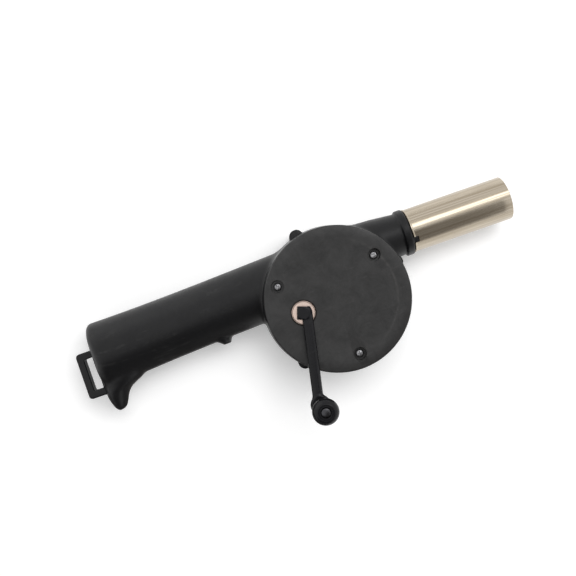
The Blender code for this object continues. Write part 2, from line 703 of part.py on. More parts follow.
def front_shell(body):
    foot = SPLIT_Z + GAP / 2
    shell = half_of(body, "front_shell", foot, 3 * SPLIT_Z)
    cut(shell, gear_room())
    bosses, holes, posts, ribs = [], [], [], []
    for place, _, seat in shell_screws():
        hole_top = seat - GAP + SHELL_SCREW_L + HOLE_SPARE
        on_rim = place.x > HANDLE_ROOT_X
        boss_top = hole_top + BOSS_ROOF if on_rim else 2 * SPLIT_Z - WALL + EMBED
        holes.append(cylinder("hole", SCREW_HOLE_R, foot - WALL, hole_top, ROUND_SMALL, place))
        bosses.append(cylinder("boss", SHELL_BOSS_R, foot, boss_top, ROUND_SMALL, place))
    for angle, shift, _ in COVER_SCREWS:
        place = post_place(angle, shift)
        posts.append(cylinder("post", POST_R, PARTITION_TOP - EMBED, COVER_BOSS_Z - GAP,
                              ROUND_SMALL, place))
        rib = block("rib", (place.length, -RIB_T / 2, PARTITION_TOP - EMBED),
                    (GEAR_ROOM_R + EMBED, RIB_T / 2, COVER_BOSS_Z - 2 * GAP))
        ribs.append(turn_z(rib, math.radians(angle)))
        tip = COVER_TOP - COVER_BORE_DEPTH + GAP - COVER_SCREW_L
        holes.append(cylinder("hole", SCREW_HOLE_R, tip - HOLE_SPARE / 2, COVER_TOP,
                              ROUND_SMALL, place))
    idler_boss = cylinder("idler_boss", IDLER_BOSS_R, IDLER_BOSS_Z, BOSS_TOP, ROUND_SMALL,
                          IDLER_AXIS)
    cup = cylinder("cup", CUP_R, FRONT_BUSH_Z, BOSS_TOP, ROUND_FIT)
    fuse(shell, gather("bosses", bosses + posts + [idler_boss, cup]), gather("ribs", ribs))
    holes.append(cylinder("idler_hole", SHAFT_R + GAP, IDLER_HOLE_Z, COVER_TOP, ROUND_SMALL,
                          IDLER_AXIS))
    holes.append(cylinder("cup_bore", CUP_BORE_R, PARTITION_Z - WALL, COVER_TOP, ROUND_FIT))
    cut(shell, gather("holes", holes))
    return fuse(shell, lug_block("lug", TUBE_R - LUG_SINK, 0.0))


def gear_cover():
    lip_r = GEAR_ROOM_R - GAP
    edge = [(COVER_R - COVER_EDGE_R * (1 - math.sin(a)),
             COVER_TOP - COVER_EDGE_R * (1 - math.cos(a)))
            for a in (0, math.pi / 4, math.pi / 2)]
    profile = [(0, COVER_TOP)] + edge + [
        (COVER_R, COVER_Z), (lip_r, COVER_Z), (lip_r, COVER_Z - LIP_H),
        (lip_r - LIP_T, COVER_Z - LIP_H), (lip_r - LIP_T, COVER_Z), (0, COVER_Z)]
    cover = turned("gear_cover", profile, ROUND_LARGE)
    inside = COVER_TOP - BLIND_WALL
    seat = COVER_TOP - COVER_BORE_DEPTH
    bosses = [cylinder("idler_seat", IDLER_BOSS_R, IDLER_SEAT_Z, inside, ROUND_SMALL,
                       IDLER_AXIS)]
    holes = [cylinder("idler_hole", SHAFT_R + GAP, IDLER_SEAT_Z - WALL, inside, ROUND_SMALL,
                      IDLER_AXIS),
             cylinder("bush_hole", CRANK_BUSH_R + GAP, COVER_Z - WALL, COVER_TOP + WALL,
                      ROUND_MEDIUM, CRANK_AXIS)]
    for angle, shift, _ in COVER_SCREWS:
        place = post_place(angle, shift)
        bosses.append(cylinder("boss", COVER_BOSS_R, COVER_BOSS_Z, inside, ROUND_FIT, place))
        holes.append(turned("bore", [
            (0, COVER_TOP + WALL), (COVER_BORE_R, COVER_TOP + WALL), (COVER_BORE_R, seat),
            (SCREW_HOLE_R, seat), (SCREW_HOLE_R, COVER_BOSS_Z - WALL),
            (0, COVER_BOSS_Z - WALL)], ROUND_FIT, place))
    return cut(fuse(cover, gather("bosses", bosses)), gather("holes", holes))


# Screws

def pan_screw(name, shank_r, length):
    """A pan-head screw with a cross recess. Its head stands on z = 0, its shank points down."""
    profile = [(0, HEAD_H), (HEAD_R * 0.75, HEAD_H * 0.88), (HEAD_R, HEAD_H * 0.4),
               (HEAD_R, 0), (shank_r, 0), (shank_r, -length + shank_r), (0, -length)]
    screw = turned(name, profile, ROUND_SMALL)
    long_side, short_side = CROSS_L / 2, CROSS_W / 2
    floor = HEAD_H - CROSS_DEPTH
    slots = [block("slot", (-x, -y, floor), (x, y, 2 * HEAD_H))
             for x, y in ((long_side, short_side), (short_side, long_side))]
    return cut(screw, fuse(*slots))


def lay_screw(screw, place, z, head_up, spin):
    """Put a screw's head seat at z, with the head up or down, turned by spin round its axis."""
    flip = Matrix.Identity(4) if head_up else Matrix.Rotation(math.pi, 4, "X")
    screw.matrix_world = (Matrix.Translation(Vector((place.x, place.y, z)))
                          @ Matrix.Rotation(math.radians(spin), 4, "Z") @ flip)
    return screw


def screws(steel):
    cover_seat = COVER_TOP - COVER_BORE_DEPTH + GAP
    for i, (angle, shift, turn) in enumerate(COVER_SCREWS):
        screw = finish(pan_screw("screw", SCREW_R, COVER_SCREW_L), f"cover_screw_{i + 1}", steel)
        lay_screw(screw, post_place(angle, shift), cover_seat, True, turn)
    for i, (place, _, seat) in enumerate(shell_screws()):
        screw = finish(pan_screw("screw", SCREW_R, SHELL_SCREW_L), f"shell_screw_{i + 1}", steel)
        lay_screw(screw, place, seat - GAP, False, SHELL_SCREW_TURN * i)


# Gears

def involute(angle):
    return math.tan(angle) - angle


def gear_outline(teeth, shift, phase, flank_steps):
    """Outline of an involute gear that has a tooth centred on the direction phase. Below the
    base circle a flank runs straight to the axis."""
    pitch_r = pitch_radius(teeth)
    base_r = pitch_r * math.cos(PRESSURE_ANGLE)
    tip_r = tip_radius(teeth, shift)
    root_r = MODULE * (teeth / 2 - DEDENDUM + shift)
    thickness = MODULE * (math.pi / 2 + 2 * shift * math.tan(PRESSURE_ANGLE)) - BACKLASH
    base_half = thickness / (2 * pitch_r) + involute(PRESSURE_ANGLE)
    radii = [root_r + (tip_r - root_r) * i / flank_steps for i in range(flank_steps + 1)]
    flank = [(r, base_half - involute(math.acos(min(base_r / r, 1.0)))) for r in radii]
    outline = []
    for k in range(teeth):
        middle = phase + 2 * math.pi * k / teeth
        tooth = [(r, middle - half) for r, half in flank]
        tooth += [(r, middle + half) for r, half in reversed(flank)]
        outline += [(r * math.cos(a), r * math.sin(a)) for r, a in tooth]
    return outline


def heading(start, end):
    return math.atan2(end.y - start.y, end.x - start.x)


def crank_gear():
    phase = heading(CRANK_AXIS, IDLER_AXIS) + math.pi / CRANK_TEETH
    gear = extruded("crank_gear", gear_outline(CRANK_TEETH, -CRANK_SHIFT, phase, 2),
                    CRANK_GEAR_Z, CRANK_GEAR_TOP)
    hub = turned("hub", [
        (0, CRANK_GEAR_TOP - EMBED), (SHOULDER_R, CRANK_GEAR_TOP - EMBED),
        (SHOULDER_R, SHOULDER_TOP), (CRANK_HUB_R, SHOULDER_TOP),
        (CRANK_HUB_R, CRANK_HUB_TOP), (0, CRANK_HUB_TOP)],
        ROUND_MEDIUM)
    half = SQUARE / 2 + GAP
    socket = block("socket", (-half, -half, CRANK_GEAR_Z + CRANK_WEB), (half, half, HUB_Z))
    hole = cylinder("hole", CRANK_SCREW_R + GAP, CRANK_GEAR_Z - WALL, SHANK_Z)
    return cut(fuse(gear, hub), turn_z(socket, SQUARE_TURN), hole)


def idler_gear():
    to_crank = heading(IDLER_AXIS, CRANK_AXIS)
    to_fan = heading(IDLER_AXIS, FAN_AXIS)
    wheel = extruded("idler_gear", gear_outline(
        IDLER_WHEEL_TEETH, -FAN_SHIFT, to_fan + math.pi / IDLER_WHEEL_TEETH, 2),
        WHEEL_Z, WHEEL_TOP)
    pinion = extruded("pinion", gear_outline(IDLER_PINION_TEETH, CRANK_SHIFT, to_crank, 4),
                      WHEEL_TOP - EMBED, IDLER_PINION_TOP)
    bore = cylinder("bore", BUSH_BORE_R, WHEEL_Z - WALL, COVER_TOP, ROUND_FIT)
    return cut(fuse(wheel, pinion), bore)


def fan_pinion():
    phase = heading(FAN_AXIS, IDLER_AXIS)
    pinion = extruded("fan_pinion", gear_outline(FAN_TEETH, FAN_SHIFT, phase, 4),
                      WHEEL_Z, FAN_PINION_TOP)
    return cut(pinion, cylinder("bore", SHAFT_R + GAP, PARTITION_Z, COVER_TOP, ROUND_FIT))


# Fan

def blade_outline():
    """A blade swept back along an arc, BLADE_T thick."""
    steps = 3
    inner_r = FAN_R - BLADE_LENGTH
    spine = []
    for i in range(steps + 1):
        t = i / steps
        radius = inner_r + BLADE_LENGTH * t
        spine.append(Vector((radius * math.cos(BLADE_SWEEP * t * t),
                             -radius * math.sin(BLADE_SWEEP * t * t))))
    left, right = [], []
    for i, point in enumerate(spine):
        along = (spine[min(i + 1, steps)] - spine[max(i - 1, 0)]).normalized()
        side = Vector((-along.y, along.x)) * BLADE_T / 2
        left.append(point + side)
        right.append(point - side)
    return right + left[::-1]


def impeller():
    plate = turned("impeller", [
        (0, FAN_PLATE_TOP), (FAN_R, FAN_PLATE_TOP), (FAN_R, FAN_PLATE_Z), (0, FAN_PLATE_Z)],
        ROUND_LARGE)
    hub = cylinder("hub", FAN_HUB_R, REAR_BUSH_TOP + GAP, FRONT_BUSH_Z - GAP, ROUND_FIT)
    foot = WALL + BLADE_ROOM
    blades = [turn_z(extruded("blade", blade_outline(), foot, FAN_PLATE_TOP - EMBED),
                     2 * math.pi * i / BLADES) for i in range(BLADES)]
    fuse(plate, hub, gather("blades", blades))
    return cut(plate, cylinder("bore", SHAFT_R + GAP, WALL, COVER_TOP, ROUND_FIT))


# Crank

def arm_ring(along, width):
    """Section of the crank's bar at a distance from the hub's axis."""
    t = along / CRANK_RADIUS
    shift = ARM_HUB_SHIFT + (ARM_KNOB_SHIFT - ARM_HUB_SHIFT) * t
    z = ARM_HUB_Z + (ARM_KNOB_Z - ARM_HUB_Z) * max(t, 0)
    half_w, half_h, c = width / 2, ARM_H / 2, ARM_CHAMFER
    corners = ((half_w, -half_h + c), (half_w, half_h - c), (half_w - c, half_h),
               (c - half_w, half_h), (-half_w, half_h - c), (-half_w, c - half_h),
               (c - half_w, -half_h), (half_w - c, -half_h))
    return [(along, shift + across, z + up) for across, up in corners]


def crank_arm():
    arm = lofted("crank_arm", [
        arm_ring(-ARM_ROOT_L, ARM_ROOT_W), arm_ring(ARM_ROOT_TAPER - ARM_ROOT_L, ARM_W),
        arm_ring(0, ARM_W), arm_ring(CRANK_RADIUS, ARM_W)])
    round_end = cylinder("round_end", HUB_SIDE / 2, HUB_Z + EMBED,
                         ARM_HUB_Z + ARM_H / 2 + GAP, ROUND_FIT)
    knob_seat = cylinder("knob_seat", ARM_END_R, ARM_END_Z, ARM_END_TOP, ROUND_MEDIUM,
                         (CRANK_RADIUS - ARM_END_BACK, ARM_END_SHIFT))
    fuse(arm, round_end, knob_seat)
    cut(arm, cylinder("pin_hole", KNOB_PIN_R + GAP, ARM_END_Z + BLIND_WALL, KNOB_Z,
                      ROUND_FIT, (CRANK_RADIUS, 0)))
    turn_z(arm, ARM_ANGLE)
    side, shank = HUB_SIDE / 2, SQUARE / 2
    hub = turn_z(block("hub", (-side, -side, HUB_Z), (side, side, HUB_Z + HUB_H)), SQUARE_TURN)
    square = turn_z(block("shank", (-shank, -shank, SHANK_Z), (shank, shank, HUB_Z + EMBED)),
                    SQUARE_TURN)
    pilot = cylinder("pilot", CRANK_SCREW_R + GAP, SHANK_Z - WALL,
                     CRANK_SCREW_Z + CRANK_SCREW_L + HOLE_SPARE)
    return cut(fuse(arm, hub, square), pilot)


def crank_knob():
    shape = ((0.0, 0.7), (0.05, 0.75), (0.2, 0.68), (0.4, 0.74), (0.56, 0.87),
             (0.7, 0.975), (0.8, 1.0), (0.89, 0.95), (0.96, 0.82), (1.0, 0.6))
    profile = [(KNOB_R * wide, KNOB_Z + KNOB_H * high) for high, wide in shape]
    recess_r = KNOB_PIN_HEAD_R + GAP
    bore_r = KNOB_PIN_R + RUN_GAP
    profile += [(recess_r, KNOB_TOP), (recess_r, KNOB_TOP - KNOB_SINK),
                (bore_r, KNOB_TOP - KNOB_SINK), (bore_r, KNOB_Z)]
    return turned("crank_knob", profile, ROUND_MEDIUM)


def knob_pin():
    head = KNOB_TOP - KNOB_SINK + GAP
    foot = ARM_END_Z + BLIND_WALL + GAP
    rim = KNOB_PIN_HEAD_R - KNOB_PIN_HEAD_H / 3
    return turned("knob_pin", [
        (0, head + KNOB_PIN_HEAD_H), (rim, head + KNOB_PIN_HEAD_H),
        (KNOB_PIN_HEAD_R, head + KNOB_PIN_HEAD_H * 0.6), (KNOB_PIN_HEAD_R, head),
        (KNOB_PIN_R, head), (KNOB_PIN_R, foot), (0, foot)], ROUND_FIT,
        KNOB_AXIS - CRANK_AXIS)


def crank_bush():
    bore_r = CRANK_HUB_R + RUN_GAP
    lip_r = SQUARE / math.sqrt(2) + GAP
    lip_z = CRANK_BUSH_TOP - CRANK_BUSH_LIP_T
    flange_top = BUSH_FLANGE_Z + CRANK_BUSH_FLANGE_T
    return turned("crank_bush", [
        (CRANK_BUSH_R, CRANK_BUSH_TOP), (CRANK_BUSH_R, flange_top),
        (CRANK_BUSH_FLANGE_R, flange_top), (CRANK_BUSH_FLANGE_R, BUSH_FLANGE_Z),
        (bore_r, BUSH_FLANGE_Z), (bore_r, lip_z), (lip_r, lip_z), (lip_r, CRANK_BUSH_TOP)],
        ROUND_MEDIUM, CRANK_AXIS)


# Nozzle tube

def nozzle_tube():
    inner = TUBE_R - TUBE_T
    lip = TUBE_R + TUBE_LIP
    profile = [(inner, TUBE_X), (lip, TUBE_X), (lip, TUBE_X + TUBE_LIP_W),
               (TUBE_R, TUBE_X + TUBE_LIP_W + TUBE_LIP), (TUBE_R, TUBE_END_X),
               (inner, TUBE_END_X)]
    pipe = along_nozzle(turned("nozzle_tube", profile, ROUND_LARGE))
    return cut(pipe, lug_block("notch", TUBE_R + 2 * TUBE_LIP, GAP))


# Assembly

def clear_scene():
    for obj in list(bpy.data.objects):
        bpy.data.objects.remove(obj)


def build():
    clear_scene()
    shell = material("black_shell", (0.025, 0.025, 0.027), 0.5)
    cover = material("black_cover", (0.035, 0.035, 0.037), 0.6)
    crank = material("black_crank", (0.016, 0.016, 0.02), 0.35)
    plated = material("plated_tube", (0.72, 0.68, 0.6), 0.25, 1.0)
    steel = material("steel", (0.6, 0.6, 0.62), 0.3, 1.0)
    dark_steel = material("dark_steel", (0.035, 0.035, 0.04), 0.35, 1.0)
    bronze = material("bronze", (0.75, 0.48, 0.36), 0.35, 1.0)
    nylon = material("white_gear", (0.82, 0.81, 0.76), 0.45)
    dark = material("black_fan", (0.04, 0.04, 0.045), 0.5)

    fan_axis = axis_empty("fan_axis", FAN_AXIS)
    idler_axis = axis_empty("idler_axis", IDLER_AXIS)
    crank_axis = axis_empty("crank_axis", CRANK_AXIS)
    knob_axis = axis_empty("knob_axis", KNOB_AXIS - CRANK_AXIS)
    knob_axis.parent = crank_axis

    body = body_outside()
    finish(back_shell(body), "back_shell", shell)
    finish(front_shell(body), "front_shell", shell)
    bpy.data.objects.remove(body)
    finish(gear_cover(), "gear_cover", cover)
    screws(steel)
    finish(nozzle_tube(), "nozzle_tube", plated)

    finish(tube("rear_bush", BUSH_R, BUSH_BORE_R, REAR_BUSH_Z, REAR_BUSH_TOP),
           "rear_bush", bronze)
    finish(tube("front_bush", BUSH_R, BUSH_BORE_R, FRONT_BUSH_Z, BOSS_TOP),
           "front_bush", bronze)
    finish(impeller(), "impeller", dark, fan_axis)
    finish(cylinder("fan_shaft", SHAFT_R, REAR_BUSH_Z, SHAFT_TOP, ROUND_FIT), "fan_shaft",
           steel, fan_axis)
    finish(fan_pinion(), "fan_pinion", nylon, fan_axis)

    finish(cylinder("idler_pin", SHAFT_R, IDLER_PIN_Z, IDLER_PIN_TOP, ROUND_FIT, IDLER_AXIS),
           "idler_pin", steel)
    finish(idler_gear(), "idler_gear", nylon, idler_axis)

    finish(crank_bush(), "crank_bush", bronze)
    finish(crank_gear(), "crank_gear", nylon, crank_axis)
    finish(crank_arm(), "crank_arm", crank, crank_axis)
    finish(tube("crank_washer", WASHER_R, CRANK_SCREW_R + GAP, WASHER_Z,
                WASHER_Z + WASHER_T), "crank_washer", steel, crank_axis)
    screw = finish(pan_screw("screw", CRANK_SCREW_R, CRANK_SCREW_L), "crank_screw", steel,
                   crank_axis)
    screw.location = (0, 0, CRANK_SCREW_Z)
    screw.rotation_euler = (math.pi, 0, 0)
    finish(knob_pin(), "knob_pin", dark_steel, crank_axis)
    finish(crank_knob(), "crank_knob", crank, knob_axis)


build()
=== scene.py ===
"""Looks of a hand-cranked barbecue blower: moulded shells, screwed cover, plated tube and
crank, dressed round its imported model."""
import json
import math
from itertools import product

import bmesh
import bpy
import numpy as np
from mathutils import Matrix, Vector


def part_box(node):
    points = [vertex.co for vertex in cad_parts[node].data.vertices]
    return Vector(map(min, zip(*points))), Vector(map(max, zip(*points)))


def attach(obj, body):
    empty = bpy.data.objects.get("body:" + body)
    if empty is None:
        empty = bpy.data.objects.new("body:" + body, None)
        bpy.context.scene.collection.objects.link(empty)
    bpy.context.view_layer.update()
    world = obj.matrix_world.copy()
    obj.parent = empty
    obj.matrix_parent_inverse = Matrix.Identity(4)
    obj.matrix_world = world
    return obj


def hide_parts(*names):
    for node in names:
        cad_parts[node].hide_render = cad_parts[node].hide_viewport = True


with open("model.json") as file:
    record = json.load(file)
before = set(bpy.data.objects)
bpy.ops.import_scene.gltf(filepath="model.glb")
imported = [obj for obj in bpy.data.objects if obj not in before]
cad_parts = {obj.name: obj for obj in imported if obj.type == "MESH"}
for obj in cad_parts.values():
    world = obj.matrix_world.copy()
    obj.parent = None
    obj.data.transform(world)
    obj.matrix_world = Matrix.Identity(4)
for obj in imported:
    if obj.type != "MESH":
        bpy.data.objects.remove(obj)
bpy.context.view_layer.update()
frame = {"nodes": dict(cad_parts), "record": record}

MM = 0.001
TINY = 1e-9

# Casing
SPLIT_Z = 17.5 * MM
SEAM = 0.2 * MM                 # open seam between the two half shells
WALL = 2.0 * MM
GAP = 0.3 * MM                  # between pieces that sit in one another
CASE_TOP = 39.7 * MM
CASE_R = 41.31 * MM             # at the seam
CASE_TOP_R = 39.31 * MM
CASE_BACK_R = 40.31 * MM
BACK_EDGE_R = 4.0 * MM
RIM_EDGE_R = 0.6 * MM
PARTITION_Z = 26.0 * MM
PARTITION_TOP = 28.5 * MM
GEAR_ROOM_R = 37.31 * MM
# Bosses on the rim: angle, and how far inside the rim
RIM_BOSSES = ((103.5, 1.2 * MM), (225.0, 3.0 * MM), (12.2, 2.7 * MM))
BOSS_R = 4.0 * MM
BOSS_FOOT = 0.8 * MM
BOSS_TOP = 28.0 * MM
BOSS_EDGE_R, BOSS_FILLET = 0.6 * MM, 0.8 * MM
BODY_FILLET = 2.0 * MM          # where neck and grip run into the casing
CUP_R = 5.3 * MM
BACK_CUP_TOP = 6.5 * MM
FRONT_CUP_Z, FRONT_CUP_TOP = 24.8 * MM, 29.2 * MM
IDLER_BOSS_Z = 24.1 * MM
IDLER_BORE_R = 1.8 * MM
IDLER_BORE_Z, IDLER_BORE_TOP = 24.9 * MM, 41.4 * MM
CUP_BORE_R = 3.8 * MM
IDLER_X, IDLER_Y = -8.97 * MM, 16.065 * MM
IDLER_BOSS_R = 3.5 * MM
POST_R = 2.6 * MM
BORE_R = 2.75 * MM
BORE_SEAT_Z = 7.8 * MM
GRIP_BORE_SEAT_Z = 9.0 * MM
PILOT_R = 1.4 * MM
SHELL_PILOT_L = 18.2 * MM       # from the head's seat up
COVER_PILOT_Z = 29.9 * MM
SLOTS = 14
SLOT_HALF = 1.7 * MM
SLOT_INNER_R = 12.5 * MM
SLOT_OUTER_R = 27.0 * MM

# Grip
GRIP_ROOT_X, GRIP_END_X = -50.0 * MM, -137.0 * MM
GRIP_START_X = -16.65 * MM
GRIP_ROOT_Y, GRIP_END_Y = 16.6 * MM, 12.9 * MM
GRIP_ROOT_HALF, GRIP_END_HALF = 17.3 * MM, 18.9 * MM
GRIP_FLARE = 2.7                # power by which the grip widens towards its end
NOSE_TOP_R = 9.0 * MM
NOSE_SIDE_R = 3.0 * MM
HOOK_FILLET, STOP_FILLET, LOOP_FILLET = 1.5 * MM, 0.8 * MM, 0.6 * MM
GRIP_SCREWS_X = (-58.0 * MM, -112.0 * MM)
# Pommel hook, in millimetres: depth below the grip's axis, its two sides from the grip's
# end, and half height
HOOK_ROWS = (
    (9.0, 0.6, 26.0, 13.0), (15.4, -1.2, 24.0, 11.9), (18.4, -1.5, 20.5, 11.0),
    (20.2, -1.5, 16.6, 10.4), (22.2, -1.3, 12.8, 9.6), (25.0, -0.9, 10.2, 8.5),
    (28.9, 0.1, 8.2, 6.6), (31.5, 1.3, 6.6, 4.4), (32.6, 2.6, 4.6, 2.0))
STOP_X = -66.8 * MM
STOP_FOOT_HALF, STOP_TIP_HALF = 6.5 * MM, 2.1 * MM
STOP_TIP_SHIFT = 1.7 * MM
STOP_PROUD = 2.8 * MM
STOP_HALF_Z = 8.0 * MM
LOOP_LOW = (-148.0 * MM, -8.8 * MM)
LOOP_HIGH = (-135.0 * MM, 17.5 * MM)
LOOP_SLOT_LOW = (-144.0 * MM, -4.7 * MM)
LOOP_SLOT_HIGH = (-138.5 * MM, 13.4 * MM)
LOOP_HALF_T = 3.0 * MM
LOOP_CORNER_R = 2.2 * MM
LOOP_EDGE_R, LOOP_SLOT_EDGE_R = 0.6 * MM, 0.4 * MM

# Nozzle and tube
NOZZLE_Y = 22.0 * MM
NECK_X = (15.0 * MM, 33.0 * MM, 46.5 * MM)
NECK_R = (14.2 * MM, 13.2 * MM, 11.8 * MM)
COLLAR_X, COLLAR_FACE_X = 46.5 * MM, 50.9 * MM
COLLAR_R = 13.1 * MM
COLLAR_EDGE_R, COLLAR_FILLET = 0.9 * MM, 0.8 * MM
SPIGOT_R = 11.45 * MM
SPIGOT_END_X = 61.9 * MM
SPIGOT_EDGE_R = 0.4 * MM
DUCT_R = 9.6 * MM
TUBE_R = 12.25 * MM
TUBE_T = 0.5 * MM
TUBE_EASE = 0.1 * MM            # corners of the rolled foot
TUBE_LIP, TUBE_LIP_L, TUBE_LIP_END = 0.3 * MM, 0.6 * MM, 1.1 * MM
TUBE_LIP_SLOPE = 0.12 * MM
TUBE_RINGS = (0.1, 0.3, 0.5, 0.7, 0.9)          # shares of its length
LUG_ANGLE = math.radians(119.0)
LUG_HALF = 1.5 * MM
LUG_L = 2.8 * MM
LUG_EDGE_R = 0.5 * MM
LUG_SINK = 0.15 * MM            # its face lies this much below the tube's

# Corners and step of the grid on which the shells' skin is found
SKIN_LOW = (LOOP_LOW[0] - 2 * MM, -26 * MM - CASE_R / 2, -1.3 * MM)
SKIN_HIGH = (SPIGOT_END_X + 2 * MM, CASE_R + 5 * MM, CASE_TOP + 1.5 * MM)
SKIN_STEP = 0.7 * MM

# Cover
COVER_Z, COVER_TOP = 40.0 * MM, 42.2 * MM
COVER_R = 39.15 * MM
COVER_SHIFT = (0.25 * MM, 0.0)          # it sits a little off the casing's middle
COVER_EDGE_R, COVER_EASE = 0.6 * MM, 0.2 * MM
DISH, DISH_R, DISH_RIM_R = 0.1 * MM, 33.0 * MM, 33.8 * MM
BORE_EASE = 0.25 * MM
BUSH_SINK = 0.8 * MM                    # countersink round the crank's bush
# Screws of the cover: angle, distance from the middle, and turn of the cross
COVER_SCREWS = ((149.5, 32.44 * MM, 25.0), (31.3, 30.24 * MM, 56.0), (-86.8, 31.24 * MM, 87.0))
COVER_BORE_R = 3.4 * MM
COVER_SEAT_Z = 38.3 * MM
COVER_BOSS_R = 4.4 * MM
COVER_BOSS_Z = 37.3 * MM
IDLER_SEAT_Z = 37.5 * MM
ARROW_R, ARROW_HALF_W, ARROW_H = 12.5 * MM, 0.45 * MM, 0.08 * MM
ARROW_SUNK = 0.5 * MM                   # how far it reaches into the plate
ARROW_ANGLES, ARROW_SPAN = (117.0, -66.0), 16.0
ARROW_HEAD_SPAN, ARROW_HEAD_WIDE = 8.0, 2.4     # degrees, and times the line's width
LIP_R = 36.9 * MM
LIP_INNER_R = 35.6 * MM
LIP_Z = 38.4 * MM
HEAD_R = 2.15 * MM
HEAD_H = 1.5 * MM
HEAD_BRIM = 0.63 * MM
HEAD_EASE = 0.1 * MM
CROSS_DEPTH, CROSS_HALF_W, CROSS_HALF_L = 1.2 * MM, 0.36 * MM, 1.5 * MM
CROSS_TAPER = 0.45
SCREW_R = 1.1 * MM
COVER_SCREW_L, SHELL_SCREW_L = 8.0 * MM, 17.0 * MM
SHELL_SCREW_SPIN = 17.0                 # degrees from one screw's cross to the next

# Crank
CRANK_X, CRANK_Y = -19.4 * MM, -1.0 * MM
CRANK_RADIUS = 49.2 * MM
ARM_ANGLE = math.radians(-97.0)
SQUARE_TURN = math.radians(-19.3)
HUB_HALF = 3.5 * MM
HUB_Z, HUB_TOP = 42.6 * MM, 46.2 * MM
ARM_HUB_Z, ARM_KNOB_Z = 45.4 * MM, 47.8 * MM
ARM_HALF_W, ARM_HALF_H = 2.85 * MM, 2.2 * MM
ARM_CHAMFER = 1.3 * MM
ARM_HUB_SHIFT, ARM_KNOB_SHIFT = 1.7 * MM, -2.4 * MM
ARM_ROOT_L = 2.8 * MM
ARM_END_R = 5.3 * MM
ARM_END_BACK, ARM_END_SHIFT = 0.8 * MM, -1.5 * MM
ARM_ROOT_CUT = 1.1 * MM
ARM_EDGE_R, ARM_FLANK_R, ARM_END_EDGE_R = 0.2 * MM, 0.5 * MM, 1.1 * MM
HUB_EDGE_R, SHANK_EDGE_R = 0.4 * MM, 0.2 * MM
CROWN_H, CROWN_EDGE_R = 0.3 * MM, 0.5 * MM
HUB_FILLET, CROWN_FILLET, END_FILLET = 0.6 * MM, 0.5 * MM, 1.2 * MM
ARM_PILOT_R, ARM_PILOT_TOP = 1.3 * MM, 40.4 * MM
PIN_HOLE_Z = 46.4 * MM
ARM_SKIN_STEP = 0.33 * MM
SHANK_HALF = 2.2 * MM
SHANK_Z = 34.8 * MM
BUSH_R, BUSH_BORE_R, BUSH_LIP_R = 6.0 * MM, 4.55 * MM, 3.41 * MM
BUSH_FLANGE_R = 7.8 * MM
BUSH_Z, BUSH_FLANGE_TOP, BUSH_TOP = 38.0 * MM, 39.7 * MM, 42.0 * MM
BUSH_LIP_Z = 41.2 * MM
BUSH_EASE = 0.25 * MM
KNOB_Z, KNOB_TOP = 50.3 * MM, 70.0 * MM
KNOB_R = 6.8 * MM
KNOB_BORE_R = 1.85 * MM
PIN_R, PIN_HEAD_R = 1.6 * MM, 2.5 * MM
PIN_HEAD_H, PIN_BRIM = 1.0 * MM, 0.4 * MM
PIN_FOOT_Z = 46.7 * MM
KNOB_SEAT_Z = 68.4 * MM
KNOB_RECESS_R = 2.8 * MM
KNOB_GROOVE = 0.2 * MM
KNOB_GROOVE_RADII = (4.0 * MM, 3.8 * MM, 3.4 * MM, 3.2 * MM)
# Outline of the knob: shares of its height and of its greatest radius
KNOB_ROWS = (
    (0.0, 0.66), (0.02, 0.72), (0.06, 0.745), (0.1, 0.73), (0.2, 0.68), (0.3, 0.69),
    (0.4, 0.74), (0.5, 0.82), (0.6, 0.9), (0.7, 0.97), (0.8, 1.0), (0.86, 0.975),
    (0.91, 0.915), (0.95, 0.83), (0.98, 0.74), (1.0, 0.64))

# Camera: it looks straight down on the blower, which lies crank side up
IMAGE_SIZE = 576
FOCAL_PIXELS = 702.6
CAMERA_PLACE = Vector((-22.9 * MM, 14.1 * MM, 413.1 * MM))
CAMERA_ROLL = math.radians(-19.19)
SENSOR_MM = 36.0

# Studio, in metres: a white floor and world, a softbox that the tube mirrors, a key that only
# matt light comes from, and cards that only reflections show
FLOOR_REACH, FLOOR_Z = 3.0, -0.3 * MM
FLOOR_TONE, FLOOR_SHOWN = (0.92, 0.92, 0.92), 0.25
WORLD_LIGHT = 0.5
SOFTBOX_PLACE, SOFTBOX_SIZE, SOFTBOX_WATTS = (0.62, 0.33, 0.95), (1.0, 0.35), 1.9
KEY_PLACE, KEY_SIZE, KEY_WATTS = (0.3, 0.32, 1.0), (0.9, 0.6), 6.0
MIRRORED_CARDS = {
    "dark_left": (((-1.6, -0.40, 0.85), (0.12, -0.40, 0.85), (0.12, -1.3, 0.0),
                   (-1.6, -1.3, 0.0)), (0.12, 0.115, 0.11)),
    "dark_right": (((0.12, -0.07, 0.9), (0.39, -0.07, 0.9), (0.55, -1.3, 0.35),
                    (0.12, -1.3, 0.35)), (0.26, 0.25, 0.24)),
    "dark_middle": (((-0.09, -0.11, 0.9), (0.12, -0.13, 0.9), (0.12, -1.3, 0.3),
                     (-0.09, -1.3, 0.3)), (0.12, 0.115, 0.11)),
    "dark_low": (((-0.5, -0.5, MM), (-0.05, -0.5, MM), (-0.05, -0.012, MM),
                  (-0.5, -0.012, MM)), (0.15, 0.145, 0.14)),
    "bright_left": (((-1.6, 0.9, 0.03), (-0.1, 0.9, 0.03), (-0.1, 0.7, 0.6),
                     (-1.6, 0.7, 0.6)), (1.6, 1.6, 1.6))}

KNOB_X = CRANK_X + CRANK_RADIUS * math.cos(ARM_ANGLE)
KNOB_Y = CRANK_Y + CRANK_RADIUS * math.sin(ARM_ANGLE)


# Mesh tools

def put(name, mesh):
    piece = bpy.data.objects.new(name, mesh)
    bpy.context.scene.collection.objects.link(piece)
    return piece


